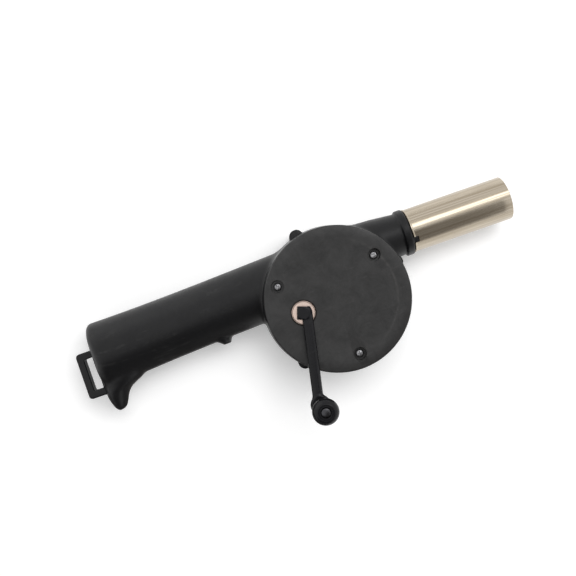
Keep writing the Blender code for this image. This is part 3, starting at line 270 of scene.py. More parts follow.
def shape(name, points, faces):
    mesh = bpy.data.meshes.new(name)
    mesh.from_pydata([tuple(p) for p in points], [], [tuple(f) for f in faces])
    return put(name, mesh)


def from_bmesh(name, bm):
    bmesh.ops.recalc_face_normals(bm, faces=bm.faces)
    mesh = bpy.data.meshes.new(name)
    bm.to_mesh(mesh)
    bm.free()
    return put(name, mesh)


def turned(name, profile, count=96, centre=(0, 0)):
    """A solid turned round a vertical axis. The profile is a closed loop of (radius, z), or an
    open one that starts and ends on the axis."""
    bm = bmesh.new()
    rings = []
    for radius, z in profile:
        steps = count if radius > 0 else 1
        rings.append([bm.verts.new((centre[0] + radius * math.cos(2 * math.pi * i / count),
                                    centre[1] + radius * math.sin(2 * math.pi * i / count), z))
                      for i in range(steps)])
    pairs = list(zip(rings, rings[1:]))
    if profile[0][0] > 0:
        pairs.append((rings[-1], rings[0]))
    for first, second in pairs:
        for i in range(count):
            j = (i + 1) % count
            corners = (first[i % len(first)], first[j % len(first)],
                       second[j % len(second)], second[i % len(second)])
            bm.faces.new(list(dict.fromkeys(corners)))
    return from_bmesh(name, bm)


def pin(name, radius, z0, z1, centre=(0, 0), count=48):
    return turned(name, [(0, z0), (radius, z0), (radius, z1), (0, z1)], count, centre)


def prism(name, outline, z0, z1):
    bm = bmesh.new()
    lower, upper = ([bm.verts.new((x, y, z)) for x, y in outline] for z in (z0, z1))
    for i in range(len(outline)):
        j = (i + 1) % len(outline)
        bm.faces.new((lower[i], lower[j], upper[j], upper[i]))
    bm.faces.new(lower)
    bm.faces.new(upper)
    return from_bmesh(name, bm)


def rounded_corner(centre, radius, start, end, steps=6):
    """Points of an arc in a profile, its angles in degrees."""
    angles = [math.radians(start + (end - start) * i / steps) for i in range(steps + 1)]
    return [(centre[0] + radius * math.cos(a), centre[1] + radius * math.sin(a))
            for a in angles]


def square_outline(half):
    return (-half, -half), (half, -half), (half, half), (-half, half)


def dome(radius, brim, top, steps):
    """Points of a rounded head in a profile, from the axis out to its brim."""
    angles = [math.pi / 2 * i / steps for i in range(steps + 1)]
    return [(radius * math.sin(a), brim + (top - brim) * math.cos(a)) for a in angles]


def move(piece, matrix):
    piece.data.transform(matrix)
    return piece


def polar(radius, degrees):
    a = math.radians(degrees)
    return radius * math.cos(a), radius * math.sin(a)


def gather(name, pieces):
    bm = bmesh.new()
    for piece in pieces:
        bm.from_mesh(piece.data)
        bpy.data.objects.remove(piece)
    mesh = bpy.data.meshes.new(name)
    bm.to_mesh(mesh)
    bm.free()
    return put(name, mesh)


def carve(piece, tool, operation="DIFFERENCE", solver="MANIFOLD"):
    cut = piece.modifiers.new("carve", "BOOLEAN")
    cut.operation, cut.solver, cut.object = operation, solver, tool
    graph = bpy.context.evaluated_depsgraph_get()
    mesh = bpy.data.meshes.new_from_object(piece.evaluated_get(graph))
    piece.modifiers.clear()
    piece.data = mesh
    bpy.data.objects.remove(tool)
    return piece


def smooth(piece, degrees=35.0):
    piece.data.shade_smooth()
    piece.data.set_sharp_from_angle(angle=math.radians(degrees))
    return piece


# Distance fields: each gives how far points lie outside a solid, so that solids can be
# joined with moulded fillets before they get a skin

def rounded_meet(a, b, radius):
    """Where two solids overlap, with the edge between them rounded."""
    return (np.hypot(np.maximum(a + radius, 0), np.maximum(b + radius, 0))
            + np.minimum(np.maximum(a, b) + radius, 0) - radius)


def filleted_join(a, b, radius):
    mix = np.clip(0.5 + 0.5 * (b - a) / radius, 0, 1)
    return b + (a - b) * mix - radius * mix * (1 - mix)


def oval(u, v, half_u, half_v):
    near = np.hypot(u / half_u, v / half_v)
    slope = np.hypot(u / half_u ** 2, v / half_v ** 2) + TINY
    return near * (near - 1) / slope


def rounded_box(u, v, low, high, radius):
    du = np.abs(u - (low[0] + high[0]) / 2) - (high[0] - low[0]) / 2 + radius
    dv = np.abs(v - (low[1] + high[1]) / 2) - (high[1] - low[1]) / 2 + radius
    return (np.hypot(np.maximum(du, 0), np.maximum(dv, 0))
            + np.minimum(np.maximum(du, dv), 0) - radius)


def post(x, y, z, place, radius, z0, z1, edge=0.0):
    side = np.hypot(x - place[0], y - place[1]) - radius
    return rounded_meet(side, np.maximum(z0 - z, z - z1), edge)


def skin(name, field, low, high, step):
    """A closed mesh of quads where a field is zero: one point in each grid cell that the
    surface crosses, drawn on to the surface along the field's slope."""
    axes = [np.arange(a, b + step, step) for a, b in zip(low, high)]
    values = field(*np.meshgrid(*axes, indexing="ij"))
    inside = values < 0
    nx, ny, nz = (n - 1 for n in values.shape)

    def corner(array, i, j, k):
        return array[i:i + nx, j:j + ny, k:k + nz]

    filled = sum(corner(inside, i, j, k).astype(np.int8) for i, j, k in
                 product((0, 1), repeat=3))
    cells = np.argwhere((filled > 0) & (filled < 8))
    number = np.full((nx, ny, nz), -1)
    number[tuple(cells.T)] = np.arange(len(cells))

    points = np.zeros((len(cells), 3))
    crossings = np.zeros(len(cells))
    for axis in range(3):
        along = np.eye(3, dtype=int)[axis]
        for j, k in product((0, 1), repeat=2):
            start = cells + np.insert((j, k), axis, 0)
            first = values[tuple(start.T)]
            second = values[tuple((start + along).T)]
            hit = (first < 0) != (second < 0)
            t = np.where(hit, first / np.where(hit, first - second, 1), 0)
            points += hit[:, None] * (start + t[:, None] * along)
            crossings += hit
    points = np.array(low) + points / crossings[:, None] * step
    reach = step / 4
    for _ in range(3):
        here = field(*points.T)
        slope = np.stack([(field(*(points + reach * e).T) - field(*(points - reach * e).T))
                          / (2 * reach) for e in np.eye(3)], axis=1)
        push = -here[:, None] * slope / np.maximum((slope ** 2).sum(1), 0.1)[:, None]
        points += np.clip(push, -step / 3, step / 3)

    faces = []
    for axis in range(3):
        one, two = (a for a in range(3) if a != axis)
        lower = inside.take(range(0, inside.shape[axis] - 1), axis)
        upper = inside.take(range(1, inside.shape[axis]), axis)
        at = np.argwhere(lower != upper)
        leaving = lower[tuple(at.T)]
        painted_ring = []
        for j, k in ((-1, -1), (0, -1), (0, 0), (-1, 0)):
            cell = at.copy()
            cell[:, one] += j
            cell[:, two] += k
            painted_ring.append(number[tuple(cell.T)])
        quads = np.stack(painted_ring, axis=1)
        flip = leaving == (axis == 1)
        quads[flip] = quads[flip][:, ::-1]
        faces.append(quads)
    return shape(name, points, np.concatenate(faces))


# Outside of the shells

def case_wall(z):
    return np.interp(z, (BACK_EDGE_R, SPLIT_Z, CASE_TOP), (CASE_BACK_R, CASE_R, CASE_TOP_R))


def casing(x, y, z):
    side = np.hypot(x, y) - case_wall(z)
    return rounded_meet(rounded_meet(side, -z, BACK_EDGE_R), z - CASE_TOP, RIM_EDGE_R)


def grip_middle(x):
    t = (GRIP_ROOT_X - x) / (GRIP_ROOT_X - GRIP_END_X)
    return GRIP_ROOT_Y + (GRIP_END_Y - GRIP_ROOT_Y) * t


def grip_half(x):
    t = np.maximum((GRIP_ROOT_X - x) / (GRIP_ROOT_X - GRIP_END_X), 0)
    return GRIP_ROOT_HALF + (GRIP_END_HALF - GRIP_ROOT_HALF) * t ** GRIP_FLARE


def grip(x, y, z):
    across, up = y - grip_middle(x), z - SPLIT_Z
    side = oval(across, up, grip_half(x), SPLIT_Z)
    upright = up ** 2 / (up ** 2 + across ** 2 + TINY ** 2)
    edge = NOSE_SIDE_R + (NOSE_TOP_R - NOSE_SIDE_R) * upright
    return np.maximum(rounded_meet(side, GRIP_END_X - x, edge), x - GRIP_START_X)


def eased_rows(rows, steps=8):
    """Rows of values with a smooth curve of more rows through them."""
    rows = np.array(rows, float)
    padded = np.vstack([2 * rows[0] - rows[1], rows, 2 * rows[-1] - rows[-2]])
    eased = []
    for i in range(1, len(padded) - 2):
        a, b, c, d = padded[i - 1:i + 3]
        for t in np.arange(steps) / steps:
            eased.append(0.5 * (2 * b + (c - a) * t + (2 * a - 5 * b + 4 * c - d) * t ** 2
                                + (3 * b - a - 3 * c + d) * t ** 3))
    return np.array(eased + [rows[-1]])


def stacked_ovals(x, y, z, rows):
    """Ovals stacked along -Y. Each row gives y, left, right and half height, y falling."""
    rows = rows[::-1]
    left, right, half = (np.interp(y, rows[:, 0], rows[:, i]) for i in (1, 2, 3))
    side = oval(x - (left + right) / 2, z - SPLIT_Z, (right - left) / 2, half)
    return np.maximum(side, np.maximum(rows[0, 0] - y, y - rows[-1, 0]))


def hook_rows():
    rows = eased_rows(HOOK_ROWS) * MM
    return np.stack([GRIP_END_Y - rows[:, 0], GRIP_END_X + rows[:, 1],
                     GRIP_END_X + rows[:, 2], rows[:, 3]], axis=1)


def stop_rows():
    t = np.linspace(0, 1, 24)
    foot = grip_middle(STOP_X) - grip_half(STOP_X) + WALL
    swell = np.sqrt(1 - t ** 2)
    half_x = STOP_TIP_HALF + (STOP_FOOT_HALF - STOP_TIP_HALF) * (1 - t) * (0.5 + swell / 2)
    middle = STOP_X + STOP_TIP_SHIFT * t
    return np.stack([foot - (WALL + STOP_PROUD) * t, middle - half_x, middle + half_x,
                     STOP_HALF_Z * (0.4 + 0.6 * swell)], axis=1)


HOOK = hook_rows()
STOP = stop_rows()


def lanyard_loop(x, y, z):
    plate = rounded_box(x, y, LOOP_LOW, LOOP_HIGH, LOOP_CORNER_R)
    slot = rounded_box(x, y, LOOP_SLOT_LOW, LOOP_SLOT_HIGH, LOOP_EDGE_R)
    plate = rounded_meet(plate, np.abs(z - SPLIT_Z) - LOOP_HALF_T, LOOP_EDGE_R)
    return rounded_meet(plate, -slot, LOOP_SLOT_EDGE_R)


def nozzle(x, y, z):
    out = np.hypot(y - NOZZLE_Y, z - SPLIT_Z)
    neck = np.maximum(out - np.interp(x, NECK_X, NECK_R),
                      np.maximum(NECK_X[0] - x, x - COLLAR_FACE_X + MM))
    collar_half = (COLLAR_FACE_X - COLLAR_X) / 2
    collar = rounded_meet(out - COLLAR_R, np.abs(x - COLLAR_X - collar_half) - collar_half,
                          COLLAR_EDGE_R)
    spigot = rounded_meet(out - SPIGOT_R, np.maximum(COLLAR_X - x, x - SPIGOT_END_X),
                          SPIGOT_EDGE_R)
    across = (y - NOZZLE_Y) * math.sin(LUG_ANGLE) - (z - SPLIT_Z) * math.cos(LUG_ANGLE)
    along = (y - NOZZLE_Y) * math.cos(LUG_ANGLE) + (z - SPLIT_Z) * math.sin(LUG_ANGLE)
    lug = np.maximum(rounded_meet(np.abs(across) - LUG_HALF, x - COLLAR_FACE_X - LUG_L,
                                  LUG_EDGE_R),
                     np.maximum(along - TUBE_R + LUG_SINK, COLLAR_X - x))
    lug = np.maximum(lug, SPIGOT_R - MM - along)
    return np.minimum(filleted_join(neck, collar, COLLAR_FILLET), np.minimum(spigot, lug))


def outside(x, y, z):
    """The whole moulded body with its fillets, before it is hollowed and split."""
    body = filleted_join(casing(x, y, z), nozzle(x, y, z), BODY_FILLET)
    for angle, inset in RIM_BOSSES:
        boss = post(x, y, z, polar(CASE_R - inset, angle), BOSS_R, BOSS_FOOT, BOSS_TOP,
                    BOSS_EDGE_R)
        body = filleted_join(body, boss, BOSS_FILLET)
    handle = filleted_join(grip(x, y, z), stacked_ovals(x, y, z, HOOK), HOOK_FILLET)
    handle = filleted_join(handle, stacked_ovals(x, y, z, STOP), STOP_FILLET)
    handle = filleted_join(handle, lanyard_loop(x, y, z), LOOP_FILLET)
    body = filleted_join(body, handle, BODY_FILLET)
    return np.maximum(body, np.maximum(-z, z - CASE_TOP))


def rooms(x, y, z):
    """Fan room, gear room, duct and the hollow of the grip."""
    out = np.hypot(x, y)
    fan = np.maximum(rounded_meet(out - case_wall(z) + WALL, WALL - z, WALL),
                     z - PARTITION_Z)
    gears = np.maximum(out - GEAR_ROOM_R, PARTITION_TOP - z)
    duct = np.maximum(np.hypot(y - NOZZLE_Y, z - SPLIT_Z) - DUCT_R, NECK_X[0] + WALL - x)
    hollow = np.maximum(grip(x, y, z) + WALL, -casing(x, y, z))
    return np.minimum(np.minimum(fan, gears), np.minimum(duct, hollow))


def inner_posts(x, y, z):
    """Bosses that the screws and bushes sit in."""
    posts = np.minimum(post(x, y, z, (0, 0), CUP_R, MM, BACK_CUP_TOP),
                       post(x, y, z, (0, 0), CUP_R, FRONT_CUP_Z, FRONT_CUP_TOP))
    posts = np.minimum(posts, post(x, y, z, (IDLER_X, IDLER_Y), IDLER_BOSS_R,
                                   IDLER_BOSS_Z, FRONT_CUP_TOP))
    for angle, radius, _ in COVER_SCREWS:
        posts = np.minimum(posts, post(x, y, z, polar(radius, angle), POST_R,
                                       PARTITION_TOP - MM, COVER_BOSS_Z - GAP))
    for angle, inset in RIM_BOSSES:
        posts = np.minimum(posts, post(x, y, z, polar(CASE_R - inset, angle), BOSS_R,
                                       BOSS_FOOT, BOSS_TOP))
    for grip_x in GRIP_SCREWS_X:
        posts = np.minimum(posts, post(x, y, z, (grip_x, grip_middle(grip_x)), BOSS_R,
                                       MM, 2 * SPLIT_Z - MM))
    return posts


def moulding(x, y, z):
    hollowed = np.maximum(outside(x, y, z), -rooms(x, y, z))
    return np.minimum(hollowed, inner_posts(x, y, z))


def slot_cutter():
    """Rounded intake slots, fanned out round the fan's axis."""
    ends = (SLOT_INNER_R + SLOT_HALF, SLOT_OUTER_R - SLOT_HALF)
    outline = (rounded_corner((ends[1], 0), SLOT_HALF, -90, 90)
               + rounded_corner((ends[0], 0), SLOT_HALF, 90, 270))
    turn = 2 * math.pi / SLOTS
    return gather("slots", [move(prism("slot", outline, -WALL, 1.5 * WALL),
                                 Matrix.Rotation(turn * i, 4, "Z")) for i in range(SLOTS)])


def screw_places():
    rim = [(polar(CASE_R - inset, angle), BORE_SEAT_Z) for angle, inset in RIM_BOSSES]
    return rim + [((x, grip_middle(x)), GRIP_BORE_SEAT_Z) for x in GRIP_SCREWS_X]


def half_shell(body, name, z0, z1):
    half = put(name, body.data.copy())
    half_space = prism("half_space", square_outline(2 * abs(GRIP_END_X)), z0, z1)
    return carve(half, half_space, "INTERSECT")


def shells():
    body = skin("moulding", moulding, SKIN_LOW, SKIN_HIGH, SKIN_STEP)
    back = half_shell(body, "back_moulding", -CASE_TOP, SPLIT_Z - SEAM / 2)
    front = half_shell(body, "front_moulding", SPLIT_Z + SEAM / 2, 2 * CASE_TOP)
    bpy.data.objects.remove(body)
    bores = [turned("bore", [(0, -WALL), (BORE_R, -WALL), (BORE_R, seat), (PILOT_R, seat),
                             (PILOT_R, SPLIT_Z + WALL), (0, SPLIT_Z + WALL)], 40, place)
             for place, seat in screw_places()]
    bores.append(pin("bore", CUP_BORE_R, WALL, 3 * WALL + MM))
    carve(back, gather("bores", bores))
    carve(back, slot_cutter())
    holes = [pin("hole", PILOT_R, SPLIT_Z - WALL, seat + SHELL_PILOT_L, place, 24)
             for place, seat in screw_places()]
    holes += [pin("hole", PILOT_R, COVER_PILOT_Z, COVER_TOP, polar(radius, angle), 24)
              for angle, radius, _ in COVER_SCREWS]
    holes += [pin("hole", CUP_BORE_R, PARTITION_Z - WALL, COVER_TOP),
              pin("hole", IDLER_BORE_R, IDLER_BORE_Z, COVER_TOP, (IDLER_X, IDLER_Y))]
    carve(front, gather("holes", holes))
    return smooth(back, 50), smooth(front, 50)


# Cover

def arrow_outline(middle):
    """A curved arrow round the crank's axis, pointing the way the crank turns."""
    start, neck, tip = (math.radians(middle + a) for a in (
        -ARROW_SPAN, ARROW_SPAN - ARROW_HEAD_SPAN, ARROW_SPAN))
    steps = [start + (neck - start) * i / 8 for i in range(9)]
    outer = [(ARROW_R + ARROW_HALF_W, a) for a in steps]
    inner = [(ARROW_R - ARROW_HALF_W, a) for a in reversed(steps)]
    barb = ARROW_HEAD_WIDE * ARROW_HALF_W
    head = [(ARROW_R + barb, neck), (ARROW_R, tip), (ARROW_R - barb, neck)]
    return [(CRANK_X + r * math.cos(a), CRANK_Y + r * math.sin(a))
            for r, a in outer + head + inner]


def cover():
    edge = rounded_corner((COVER_R - COVER_EDGE_R, COVER_TOP - COVER_EDGE_R), COVER_EDGE_R,
                          90, 0)
    profile = [(0, COVER_TOP - DISH), (DISH_R, COVER_TOP - DISH), (DISH_RIM_R, COVER_TOP)]
    profile += edge + [(COVER_R, COVER_Z + COVER_EASE), (COVER_R - COVER_EASE, COVER_Z),
                       (LIP_R, COVER_Z), (LIP_R, LIP_Z), (LIP_INNER_R, LIP_Z),
                       (LIP_INNER_R, COVER_Z), (0, COVER_Z)]
    plate = turned("cover_moulding", profile, 160, COVER_SHIFT)
    for middle in ARROW_ANGLES:
        carve(plate, prism("turning_arrow", arrow_outline(middle), COVER_TOP - ARROW_SUNK,
                           COVER_TOP + ARROW_H), "UNION")
    for angle, radius, _ in COVER_SCREWS:
        carve(plate, pin("boss", COVER_BOSS_R, COVER_BOSS_Z, COVER_TOP - MM,
                         polar(radius, angle)), "UNION")
    carve(plate, pin("boss", IDLER_BOSS_R, IDLER_SEAT_Z, COVER_TOP - MM,
                     (IDLER_X, IDLER_Y)), "UNION")
    bush_hole = BUSH_R + GAP
    holes = [turned("hole", [(0, COVER_Z - WALL), (bush_hole, COVER_Z - WALL),
                             (bush_hole, COVER_TOP - BUSH_SINK),
                             (bush_hole + BUSH_SINK, COVER_TOP),
                             (bush_hole + BUSH_SINK, COVER_TOP + WALL), (0, COVER_TOP + WALL)],
                    72, (CRANK_X, CRANK_Y)),
             pin("hole", IDLER_BORE_R, IDLER_SEAT_Z - WALL, IDLER_BORE_TOP, (IDLER_X, IDLER_Y))]
    for angle, radius, _ in COVER_SCREWS:
        holes.append(turned("bore", [
            (0, COVER_TOP + WALL), (COVER_BORE_R + BORE_EASE, COVER_TOP + BORE_EASE / 5),
            (COVER_BORE_R, COVER_TOP - BORE_EASE), (COVER_BORE_R, COVER_SEAT_Z),
            (PILOT_R, COVER_SEAT_Z), (PILOT_R, COVER_BOSS_Z - WALL),
            (0, COVER_BOSS_Z - WALL)], 48, polar(radius, angle)))
    return smooth(carve(plate, gather("holes", holes)))


# Screws

def pan_screw(name, shank_r, length):
    """Pan-head screw with a tapered cross recess, its head standing on z = 0."""
    profile = dome(HEAD_R, HEAD_BRIM, HEAD_H, 8)
    profile += [(HEAD_R, HEAD_EASE), (HEAD_R - HEAD_EASE, 0), (shank_r, 0),
                (shank_r, shank_r - length), (0, -length)]
    screw = turned(name, profile, 40)
    slots = []
    for turn in (0, math.pi / 2):
        bm = bmesh.new()
        bmesh.ops.create_cube(bm, size=2)
        for v in bm.verts:
            shrink = 1.0 if v.co.z > 0 else CROSS_TAPER
            v.co = Vector((v.co.x * CROSS_HALF_L * shrink,
                           v.co.y * CROSS_HALF_W * (shrink + 1) / 2,
                           HEAD_H + (MM if v.co.z > 0 else -CROSS_DEPTH)))
        slots.append(move(from_bmesh("slot", bm), Matrix.Rotation(turn, 4, "Z")))
    cross = carve(slots[0], slots[1], "UNION", "EXACT")
    return smooth(carve(screw, cross, solver="EXACT"))


def lay(piece, place, z, spin=0.0, head_up=True):
    flip = Matrix.Identity(4) if head_up else Matrix.Rotation(math.pi, 4, "X")
    return move(piece, Matrix.Translation((place[0], place[1], z))
                @ Matrix.Rotation(math.radians(spin), 4, "Z") @ flip)


# Tube, crank and knob

def tube():
    """Thin drawn tube along the nozzle, its foot rolled outwards, notched for the lug."""
    low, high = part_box("nozzle_tube")
    x0, x1 = low.x, high.x
    inner, lip = TUBE_R - TUBE_T, TUBE_R + TUBE_LIP
    half = TUBE_T / 2
    profile = [(inner, x0 + TUBE_EASE), (inner + TUBE_EASE, x0), (lip - half, x0),
               (lip, x0 + half), (lip, x0 + TUBE_LIP_L),
               (lip - TUBE_LIP_SLOPE, x0 + TUBE_LIP_L + half), (TUBE_R, x0 + TUBE_LIP_END)]
    profile += [(TUBE_R, x0 + (x1 - x0) * t) for t in TUBE_RINGS]
    profile += rounded_corner((TUBE_R - half, x1 - half), half, 0, 180, 8)
    profile += [(inner, x0 + (x1 - x0) * t) for t in reversed(TUBE_RINGS)]
    lay_along = Matrix(((0, 0, 1, 0), (1, 0, 0, NOZZLE_Y), (0, 1, 0, SPLIT_Z), (0, 0, 0, 1)))
    pipe = turned("drawn_tube", profile, 144)
    side = LUG_HALF + GAP
    outline = ((SPIGOT_R - MM, -side), (TUBE_R + MM, -side), (TUBE_R + MM, side),
               (SPIGOT_R - MM, side))
    notch = move(prism("notch", outline, x0 - MM, COLLAR_FACE_X + LUG_L + GAP),
                 Matrix.Rotation(LUG_ANGLE, 4, "Z"))
    return smooth(move(carve(pipe, notch), lay_along))


def bush():
    profile = [(BUSH_R, BUSH_Z), (BUSH_FLANGE_R, BUSH_Z), (BUSH_FLANGE_R, BUSH_FLANGE_TOP),
               (BUSH_R, BUSH_FLANGE_TOP), (BUSH_R, BUSH_TOP - BUSH_EASE),
               (BUSH_R - BUSH_EASE, BUSH_TOP), (BUSH_LIP_R + BUSH_EASE / 2, BUSH_TOP),
               (BUSH_LIP_R, BUSH_TOP - BUSH_EASE / 2), (BUSH_LIP_R, BUSH_LIP_Z),
               (BUSH_BORE_R, BUSH_LIP_Z), (BUSH_BORE_R, BUSH_Z)]
    return smooth(turned("bush_ring", profile, 96, (CRANK_X, CRANK_Y)))


def in_crank_frame(x, y, angle):
    """Distances from the crank's axis along a direction, and across it."""
    c, s = math.cos(angle), math.sin(angle)
    return (x - CRANK_X) * c + (y - CRANK_Y) * s, (y - CRANK_Y) * c - (x - CRANK_X) * s


def arm_field(x, y, z):
    along, across = in_crank_frame(x, y, ARM_ANGLE)
    t = along / CRANK_RADIUS
    across_bar = np.abs(across - ARM_HUB_SHIFT - (ARM_KNOB_SHIFT - ARM_HUB_SHIFT) * t)
    up = np.abs(z - ARM_HUB_Z - (ARM_KNOB_Z - ARM_HUB_Z) * np.maximum(t, 0))
    flank = (across_bar + up - ARM_HALF_W - ARM_HALF_H + ARM_CHAMFER) / math.sqrt(2)
    bar = rounded_meet(rounded_meet(across_bar - ARM_HALF_W, up - ARM_HALF_H, ARM_EDGE_R),
                       flank, ARM_FLANK_R)
    root = (across_bar - along - ARM_ROOT_L - ARM_ROOT_CUT) / math.sqrt(2)
    bar = rounded_meet(bar, np.maximum(root, -ARM_ROOT_L - along), ARM_FLANK_R)
    bar = np.maximum(bar, along - CRANK_RADIUS)
    u, v = in_crank_frame(x, y, SQUARE_TURN)
    square = rounded_box(u, v, (-HUB_HALF, -HUB_HALF), (HUB_HALF, HUB_HALF), HUB_EDGE_R)
    hub = rounded_meet(square, np.maximum(HUB_Z - z, z - HUB_TOP), HUB_EDGE_R)
    crown = post(x, y, z, (CRANK_X, CRANK_Y), HUB_HALF, HUB_Z + MM,
                 ARM_HUB_Z + ARM_HALF_H + CROWN_H, CROWN_EDGE_R)
    shank = rounded_box(u, v, (-SHANK_HALF, -SHANK_HALF), (SHANK_HALF, SHANK_HALF),
                        SHANK_EDGE_R)
    shank = np.maximum(shank, np.maximum(SHANK_Z - z, z - HUB_Z - MM))
    end = np.hypot(along - CRANK_RADIUS + ARM_END_BACK, across - ARM_END_SHIFT) - ARM_END_R
    end = rounded_meet(end, np.abs(z - ARM_KNOB_Z) - ARM_HALF_H, ARM_END_EDGE_R)
    arm = filleted_join(filleted_join(bar, hub, HUB_FILLET), crown, CROWN_FILLET)
    arm = filleted_join(arm, end, END_FILLET)
    pin_hole = post(x, y, z, (KNOB_X, KNOB_Y), PIN_R + GAP, PIN_HOLE_Z, KNOB_Z)
    pilot = post(x, y, z, (CRANK_X, CRANK_Y), ARM_PILOT_R, SHANK_Z - MM, ARM_PILOT_TOP)
    arm = np.maximum(np.minimum(arm, shank), -np.minimum(pin_hole, pilot))
    return np.maximum(arm, z - ARM_KNOB_Z - ARM_HALF_H)


def crank_arm():
    low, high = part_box("crank_arm")
    spare = Vector((1, 1, 1)) * MM
    return smooth(skin("crank_moulding", arm_field, low - spare, high + spare, ARM_SKIN_STEP),
                  60)


def knob():
    profile = [(KNOB_R * wide, KNOB_Z + (KNOB_TOP - KNOB_Z) * high)
               for high, wide in eased_rows(KNOB_ROWS, 4)]
    low = KNOB_TOP - KNOB_GROOVE
    profile += list(zip(KNOB_GROOVE_RADII, (KNOB_TOP, low, low, KNOB_TOP)))
    profile += [(KNOB_RECESS_R + KNOB_GROOVE, KNOB_TOP), (KNOB_RECESS_R, low),
                (KNOB_RECESS_R, KNOB_SEAT_Z), (KNOB_BORE_R, KNOB_SEAT_Z), (KNOB_BORE_R, KNOB_Z)]
    return smooth(turned("grip_knob", profile, 96, (KNOB_X, KNOB_Y)), 30)


def knob_pin():
    head = KNOB_SEAT_Z + GAP
    profile = dome(PIN_HEAD_R, head + PIN_BRIM, head + PIN_HEAD_H, 6)
    profile += [(PIN_HEAD_R, head), (PIN_R, head), (PIN_R, PIN_FOOT_Z), (0, PIN_FOOT_Z)]
    return smooth(turned("knob_pivot", profile, 48, (KNOB_X, KNOB_Y)))


# Materials

def add(tree, kind, inputs=None, **settings):
    node = tree.nodes.new(kind)
    for key, value in settings.items():
        setattr(node, key, value)
    for key, value in (inputs or {}).items():
        if isinstance(value, bpy.types.NodeSocket):
            tree.links.new(value, node.inputs[key])
        else:
            node.inputs[key].default_value = value
    return node


def new_group(name, inputs, outputs):
    """A shader node group: inputs with their plain values, outputs as names."""
    group = bpy.data.node_groups.new(name, "ShaderNodeTree")
    for label, value in inputs.items():
        socket = group.interface.new_socket(label, in_out="INPUT", socket_type="NodeSocketFloat")
        socket.default_value = value
    for label in outputs:
        group.interface.new_socket(label, in_out="OUTPUT", socket_type="NodeSocketFloat")
    return group, group.nodes.new("NodeGroupInput"), group.nodes.new("NodeGroupOutput")


def maths(tree, operation, *values):
    """One step of arithmetic on numbers or other nodes' outputs."""
    return add(tree, "ShaderNodeMath", dict(enumerate(values)),
               operation=operation).outputs["Value"]


def ranged(tree, value, source=(0.0, 1.0), target=(0.0, 1.0)):
    """A value taken from one range to another, and held within it."""
    return add(tree, "ShaderNodeMapRange", {
        "Value": value, "From Min": source[0], "From Max": source[1],
        "To Min": target[0], "To Max": target[1]}, clamp=True).outputs["Result"]


def noise(tree, vector, scale, detail, roughness=0.5, distortion=0.0):
    return add(tree, "ShaderNodeTexNoise", {
        "Vector": vector, "Scale": scale, "Detail": detail, "Roughness": roughness,
        "Distortion": distortion}).outputs["Fac"]


def own_place(tree, **mapping):
    """The place on a piece in its own frame, turned or stretched where asked."""
    place = add(tree, "ShaderNodeTexCoord").outputs["Object"]
    if not mapping:
        return place
    return add(tree, "ShaderNodeMapping", {"Vector": place, **mapping}).outputs["Vector"]


def moulded_grain():
    """Fine satin grain of moulded plastic, and the slow mottling of its gloss."""
    group, given, out = new_group("moulded grain", {"Grain Scale": 2600.0, "Mottle Scale": 90.0},
                                  ("Grain", "Mottle"))
    fine = noise(group, own_place(group), given.outputs["Grain Scale"], 3.0, 0.6)
    slow = noise(group, own_place(group), given.outputs["Mottle Scale"], 7.0, 0.8, 0.4)
    group.links.new(fine, out.inputs["Grain"])
    group.links.new(ranged(group, slow, (0.36, 0.64)), out.inputs["Mottle"])
    return group


def handling_marks():
    """Rubbed patches and short hairline scratches from use."""
    group, given, out = new_group("handling marks", {"Patch Scale": 60.0, "Scratch Scale": 420.0,
                                                     "Spread": 0.08}, ("Rub", "Scratch"))
    patch = noise(group, own_place(group), given.outputs["Patch Scale"], 6.0, 0.7)
    rub = ranged(group, patch, (0.52, 0.72))
    stretched = own_place(group, Rotation=(0, 0, 1.1), Scale=(0.06, 1.0, 1.0))
    lines = noise(group, stretched, given.outputs["Scratch Scale"], 2.0)
    apart = maths(group, "ABSOLUTE", maths(group, "SUBTRACT", lines, 0.62))
    scratch = ranged(group, apart, (0.0, given.outputs["Spread"]), (1.0, 0.0))
    group.links.new(rub, out.inputs["Rub"])
    group.links.new(maths(group, "MULTIPLY", scratch, rub), out.inputs["Scratch"])
    return group


def drawing_lines():
    """Fine lines that drawing leaves along a metal tube, and clouds of tarnish."""
    group, given, out = new_group("drawing lines", {"Line Scale": 900.0, "Cloud Scale": 70.0},
                                  ("Lines", "Tarnish"))
    lines = noise(group, own_place(group, Scale=(0.012, 1.0, 1.0)),
                  given.outputs["Line Scale"], 4.0, 0.65)
    clouds = noise(group, own_place(group, Scale=(0.35, 1.0, 1.0)),
                   given.outputs["Cloud Scale"], 5.0, 0.6)
    group.links.new(lines, out.inputs["Lines"])
    group.links.new(ranged(group, clouds, (0.4, 0.75)), out.inputs["Tarnish"])
    return group


def painted_highlight_ring():
    """A faint lighter ring painted on a round plate: a painted highlight, shown only towards its
    +X side and broken up by noise.
    """
    group, given, out = new_group("painted highlight ring", {"Radius": 0.032, "Half Width": 0.001},
                                  ("Ring",))
    place = own_place(group)
    parts = add(group, "ShaderNodeSeparateXYZ", {"Vector": place})
    flat = add(group, "ShaderNodeCombineXYZ", {"X": parts.outputs["X"],
                                               "Y": parts.outputs["Y"]})
    out_from_axis = add(group, "ShaderNodeVectorMath", {0: flat.outputs["Vector"]},
                        operation="LENGTH").outputs["Value"]
    away = maths(group, "ABSOLUTE",
                 maths(group, "SUBTRACT", out_from_axis, given.outputs["Radius"]))
    band = ranged(group, away, (0.0, given.outputs["Half Width"]), (1.0, 0.0))
    # The painted highlight shows only towards +X.
    side = ranged(group, parts.outputs["X"], (0.01, 0.028))
    wear_and_sheen = ranged(group, noise(group, place, 260.0, 4.0), (0.35, 0.6))
    mask = maths(group, "MULTIPLY", maths(group, "MULTIPLY", band, side), wear_and_sheen)
    group.links.new(mask, out.inputs["Ring"])
    return group


GRAIN = moulded_grain()
# Mask of the painted highlight ring on the cover
PAINTED_RING_GROUP = painted_highlight_ring()
MARKS = handling_marks()
LINES = drawing_lines()


